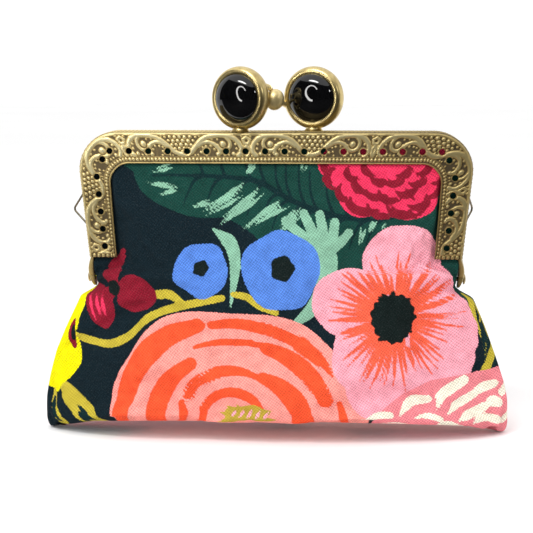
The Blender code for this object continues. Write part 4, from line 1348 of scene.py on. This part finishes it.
SIM_ROWS, SIM_COLUMNS = 62, 71
SIM_FRAMES = 24
SIM_CAP = 2.0 * MM  # how far a point may move
CLOTH_SETTINGS = {
    "quality": 7,
    "mass": 0.25,
    "tension_stiffness": 12.0,
    "compression_stiffness": 12.0,
    "shear_stiffness": 4.0,
    "bending_stiffness": 0.25,
    "air_damping": 3.0,
    "use_pressure": True,
    "uniform_pressure_force": 3.0,
    "shrink_min": -0.022,
    "vertex_group_mass": "held",
}


def simulate(seed):
    """Lets the panel swell and crumple between its held edges; returns how far each point moved."""
    start, _ = panel_surface(*panel_shares(SIM_ROWS, SIM_COLUMNS))
    z = start[..., 2]
    held = np.zeros(z.shape)
    held[z > 71.8 * MM] = 1.0
    inside = edge_x(z, WINDOW_INSET)
    held[(z > 45 * MM) & (np.abs(start[..., 0]) > inside - 0.1 * MM)] = 1.0
    held[:, 0] = held[:, -1] = held[-1] = 1.0
    nudge = smooth_noise(z.shape, (9, 8), seed) * 0.25 * MM * (1 - held)
    start[..., 1] += nudge
    faces = grid_faces(SIM_ROWS, SIM_COLUMNS)
    mesh = bpy.data.meshes.new("cloth_start")
    mesh.from_pydata([tuple(point) for point in start.reshape(-1, 3)], [], faces)
    cloth = bpy.data.objects.new("cloth_start", mesh)
    bpy.context.scene.collection.objects.link(cloth)
    group = cloth.vertex_groups.new(name="held")
    for number in np.nonzero(held.ravel() > 0)[0].tolist():
        group.add([number], 1.0, "REPLACE")
    modifier = cloth.modifiers.new("cloth", "CLOTH")
    for key, value in CLOTH_SETTINGS.items():
        setattr(modifier.settings, key, value)
    modifier.settings.effector_weights.gravity = 0.0
    modifier.collision_settings.use_collision = False
    modifier.point_cache.frame_end = SIM_FRAMES
    for number in range(1, SIM_FRAMES + 1):
        bpy.context.scene.frame_set(number)
    graph = bpy.context.evaluated_depsgraph_get()
    moved = np.array([vertex.co[:] for vertex in cloth.evaluated_get(graph).data.vertices])
    bpy.context.scene.frame_set(1)
    bpy.data.objects.remove(cloth, do_unlink=True)
    shift = moved.reshape(start.shape) - start
    shift[..., 1] += nudge
    length = np.linalg.norm(shift, axis=2, keepdims=True) + 1e-9
    shift *= np.minimum(1.0, SIM_CAP / length)
    return shift * (1 - held)[..., None]


PRINT_SCALE = 1.03
PRINT_SHIFT = (-0.9, -2.6)
REAR_PRINT_SHIFT = 28.0


def inwards_from(surface, across):
    """Direction into the pouch at each point of a panel; by the side seams it is straight back."""
    inwards = np.cross(np.gradient(surface, axis=0), np.gradient(surface, axis=1))
    inwards /= np.linalg.norm(inwards, axis=2, keepdims=True) + 1e-12
    rows, columns = across.shape
    inwards *= np.sign(inwards[rows // 2, columns // 2, 1])
    by_seam = ease(np.abs(across), 0.93, 0.985)[..., None]
    return mix(inwards, np.array((0.0, 1.0, 0.0)), by_seam)


def panel_layer(name, side, shift, rows, columns, near, far, finish, reach):
    """One layer of a panel as a closed sheet between two depths, as far as reach of the panel's shares."""
    down, across = panel_shares(rows, columns, reach)
    plain, coords = panel_surface(down, across)
    depths = layer_depths(plain)
    surface = plain + sampled(shift, down, across)
    inwards = inwards_from(surface, across)
    skins = []
    for place_name in (near, far):
        skin = surface + inwards * depths[place_name][..., None]
        skin[..., 1] = np.minimum(skin[..., 1], -SEAM_Y)
        skin[..., 2] = np.maximum(skin[..., 2], 0.0)
        skin[..., 1] *= -side
        skins.append(skin.reshape(-1, 3))
    count = rows * columns
    faces = grid_faces(rows, columns) + grid_faces(rows, columns, start=count)
    rim = list(range(columns))
    rim += [row * columns + columns - 1 for row in range(1, rows)]
    rim += [(rows - 1) * columns + column for column in range(columns - 2, -1, -1)]
    rim += [row * columns for row in range(rows - 2, 0, -1)]
    for here, there in zip(rim, rim[1:] + rim[:1]):
        faces.append((here, there, there + count, here + count))
    piece = new_object(name, np.vstack(skins), faces, finish)
    flat = coords.reshape(-1, 2) / MM
    cloth = np.zeros((2 * count, 3))
    cloth[:count, :2] = cloth[count:, :2] = flat
    add_attribute(piece, "cloth", cloth, "FLOAT_VECTOR")
    if near == "face":
        x, z = flat[:, 0], flat[:, 1]
        if side > 0:
            x = REAR_PRINT_SHIFT - x
        ink = Print(x * PRINT_SCALE + PRINT_SHIFT[0], z * PRINT_SCALE + PRINT_SHIFT[1])
        ink.layout()
        layers = [np.tile(ink.inks[ink_name], 2) for ink_name in INKS]
        while len(layers) % 3:
            layers.append(np.zeros(2 * count))
        for number in range(0, len(layers), 3):
            values = np.stack(layers[number : number + 3], axis=1)
            add_attribute(piece, f"inks_{number // 3}", values, "FLOAT_VECTOR")
    return piece


def printed_cotton():
    """Canvas printed with flat inks, seen through its threads."""
    n = Nodes("printed_cotton_canvas")
    cloth = n.attribute("cloth", "Vector")
    ragged = n.noise(cloth, 1.6, 3.0, 0.7)
    threads = n.weave(n.turned(cloth, 36), 0.62)
    edge = n.plus(n.line(ragged, 0.7, -0.35), n.line(threads, 0.16, -0.08))
    light_ground = tuple(part * 1.5 for part in GROUND)
    colour = n.ramp(n.noise(cloth, 0.5, 4.0, 0.7), (0.3, GROUND), (0.8, light_ground))
    mottle = n.noise(cloth, 0.35, 4.0, 0.65)
    for number, ink in enumerate(INKS.values()):
        if number % 3 == 0:
            distances = n.split(n.attribute(f"inks_{number // 3}", "Vector"))
        mask = n.span(n.plus(distances[number % 3], edge), -0.07, 0.07)
        dark = tuple(part * 0.68 for part in ink)
        light = tuple(part * 0.88 for part in ink)
        colour = n.blend(mask, colour, n.ramp(mottle, (0.35, dark), (0.65, light)))
    fibre = n.noise(cloth, 5.0, 4.0, 0.75)
    shade = n.plus(n.span(threads, 0.0, 1.0, 0.48, 1.22), n.line(fibre, 0.24, -0.12))
    colour = n.blend(1.0, colour, n.grey(shade), "MULTIPLY")
    lint = n.span(n.noise(cloth, 2.6, 6.0, 0.9), 0.54, 0.78, 0.0, 0.16)
    colour = n.blend(lint, colour, (0.55, 0.6, 0.6))
    n.set(base_color=colour, roughness=n.span(fibre, 0.3, 0.7, 0.95, 0.82))
    n.set(sheen_weight=0.01, sheen_roughness=0.5, specular_ior_level=0.03)
    n.bump(n.plus(threads, n.times(fibre, 0.6)), 0.55, 0.10 * MM)
    return n.material


def build_pouch(cotton, fleece, lining):
    for hand, side, seed in (("front", -1, 3), ("rear", 1, 11)):
        shift = simulate(seed)
        layers = (
            ("printed_panel", "outer_panel", "floral_cotton", 176, 236, "face", "back", cotton, 1.0),
            ("fleece_panel", "interlining_panel", "fleece", 90, 120, "fleece", "under", fleece, 0.955),
            ("lining_cloth", "lining_panel", "lining_cotton", 110, 150, "lining", "inside", lining, 1.0),
        )
        for name, node, slot, *settings in layers:
            piece = panel_layer(f"{hand}_{name}", side, shift, *settings)
            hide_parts(f"{hand}_{node}")
            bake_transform(piece)


# ---- floor, light, camera ------------------------------------------------------------------------


def studio_paint(name, grain, dark, light, roughness):
    """A grey with a faint grain."""
    n = Nodes(name)
    speck = n.noise(n.object_coords(), grain)
    n.set(base_color=n.ramp(speck, (0.4, (dark,) * 3), (0.6, (light,) * 3)), roughness=roughness)
    return n.material


def build_stage():
    size, drop = 6.0, 0.2 * MM
    bpy.ops.mesh.primitive_plane_add(size=size, location=(0, 0, -drop))
    floor = bpy.context.object
    floor.name = "studio_floor"
    floor.data.materials.append(studio_paint("studio_white", 3.0, 0.93, 0.95, 0.9))


def hide_card(card):
    """Leaves a lighting card to be seen in the brass and the stones only."""
    card.visible_camera = False
    card.visible_diffuse = False
    card.visible_shadow = False


def curved_card(name, radius, low, high, start, end, steps, finish):
    """An upright curved card round the object, between two azimuths from the front."""
    points = []
    for z in (low, high):
        for turn in arc(start, end, steps):
            points.append((radius * math.sin(turn), -radius * math.cos(turn), z))
    hide_card(new_object(name, points, grid_faces(2, steps + 1), finish))


def area_light(name, place_at, aim, power, size_x, size_y):
    data = bpy.data.lights.new(name, "AREA")
    data.energy = power
    data.shape = "ELLIPSE"
    data.size = size_x
    data.size_y = size_y
    lamp = bpy.data.objects.new(name, data)
    bpy.context.scene.collection.objects.link(lamp)
    lamp.location = place_at
    lamp.rotation_euler = (Vector(aim) - Vector(place_at)).to_track_quat("-Z", "Y").to_euler()


def ring_lamp(middle, aim, outer, inner, start, end, strength):
    """A lamp shaped like an open ring, facing the object."""
    glow = Nodes("ring_lamp_glow")
    grain = glow.noise(glow.object_coords(), 8.0)
    tint = glow.ramp(grain, (0.3, (1.0, 0.98, 0.95)), (0.7, (1.0, 1.0, 1.0)))
    glow.set(base_color=(0.0, 0.0, 0.0, 1.0), emission_color=tint)
    glow.set(emission_strength=strength)
    middle = Vector(middle)
    facing = (Vector(aim) - middle).normalized()
    across = facing.cross(Vector((0, 0, 1))).normalized()
    up = across.cross(facing)
    points = []
    for radius_x, radius_z in (outer, inner):
        for turn in arc(start, end, 24):
            points.append(middle + radius_x * math.cos(turn) * across + radius_z * math.sin(turn) * up)
    lamp = new_object("ring_lamp", points, grid_faces(2, 25), glow.material)
    lamp.visible_camera = False


def build_light():
    world = bpy.data.worlds.new("studio_world")
    bpy.context.scene.world = world
    world.use_nodes = True
    background = world.node_tree.nodes["Background"]
    background.inputs[0].default_value = (1.0, 1.0, 1.0, 1.0)
    background.inputs[1].default_value = 1.06
    grey = studio_paint("grey_flag", 20.0, 0.014, 0.018, 0.95)
    reach, gap = 1.3, 0.03
    curved_card("front_flag", reach, 0.0, 1.25, -100, 85, 24, grey)
    corners = [(-reach, -reach, 0.0), (reach, -reach, 0.0), (reach, -gap, 0.0), (-reach, -gap, 0.0)]
    hide_card(new_object("floor_flag", corners, [(0, 1, 2, 3)], grey))
    ring_lamp((-0.175, -0.30, 0.165), (0, 0, 0.09), (0.112, 0.132), (0.086, 0.106), 30, 270, 12.0)
    area_light("top_streak", (-0.20, -0.36, 0.60), (0, 0, 0.09), 1.8, 0.36, 0.09)
    area_light("side_glint", (0.62, -0.42, 0.42), (0, 0, 0.09), 0.5, 0.1, 0.1)
    bpy.context.scene.view_settings.view_transform = "Standard"


def build_camera():
    data = bpy.data.cameras.new("camera")
    camera = bpy.data.objects.new("camera", data)
    bpy.context.scene.collection.objects.link(camera)
    distance = 0.40
    azimuth, elevation = math.radians(3), math.radians(8)
    aim = Vector((-0.0025, 0, 0.0450))
    level = math.cos(elevation)
    direction = Vector((math.sin(azimuth) * level, -math.cos(azimuth) * level, math.sin(elevation)))
    camera.location = aim + direction * distance
    camera.rotation_euler = (-direction).to_track_quat("-Z", "Y").to_euler()
    half_view = 0.0725
    data.angle = 2 * math.atan(half_view / distance)
    bpy.context.scene.camera = camera


build_camera()
build_light()
build_stage()
embossed = embossed_brass()
plain_brass = smooth_brass("worn_brass", (0.20, 0.145, 0.06), (0.62, 0.47, 0.23), 0.3)
# Painted highlight: a lighter copy of the polished brass, used on the catch beads so that they read as lit.
bright = smooth_brass("painted_highlight_brass", (0.50, 0.38, 0.16), (0.90, 0.74, 0.38), 0.34, 0.85)
polished = smooth_brass("polished_brass", (0.40, 0.30, 0.125), (0.76, 0.61, 0.28), 0.29)
build_frame(embossed, plain_brass)
build_clasp(polished, bright, black_resin())
build_rings(smooth_brass("dark_wire", (0.07, 0.06, 0.045), (0.26, 0.22, 0.15), 0.34), plain_brass)
build_cords(twisted_fibre("kraft_paper_cord", (0.30, 0.20, 0.10), (0.62, 0.48, 0.30)))
build_pouch(
    printed_cotton(),
    plain_cloth("fusible_fleece", (0.62, 0.60, 0.55), (0.82, 0.80, 0.75), 0.3, 0.6),
    plain_cloth("crimson_lining_cotton", (0.20, 0.018, 0.042), (0.36, 0.04, 0.08), 0.3),
)
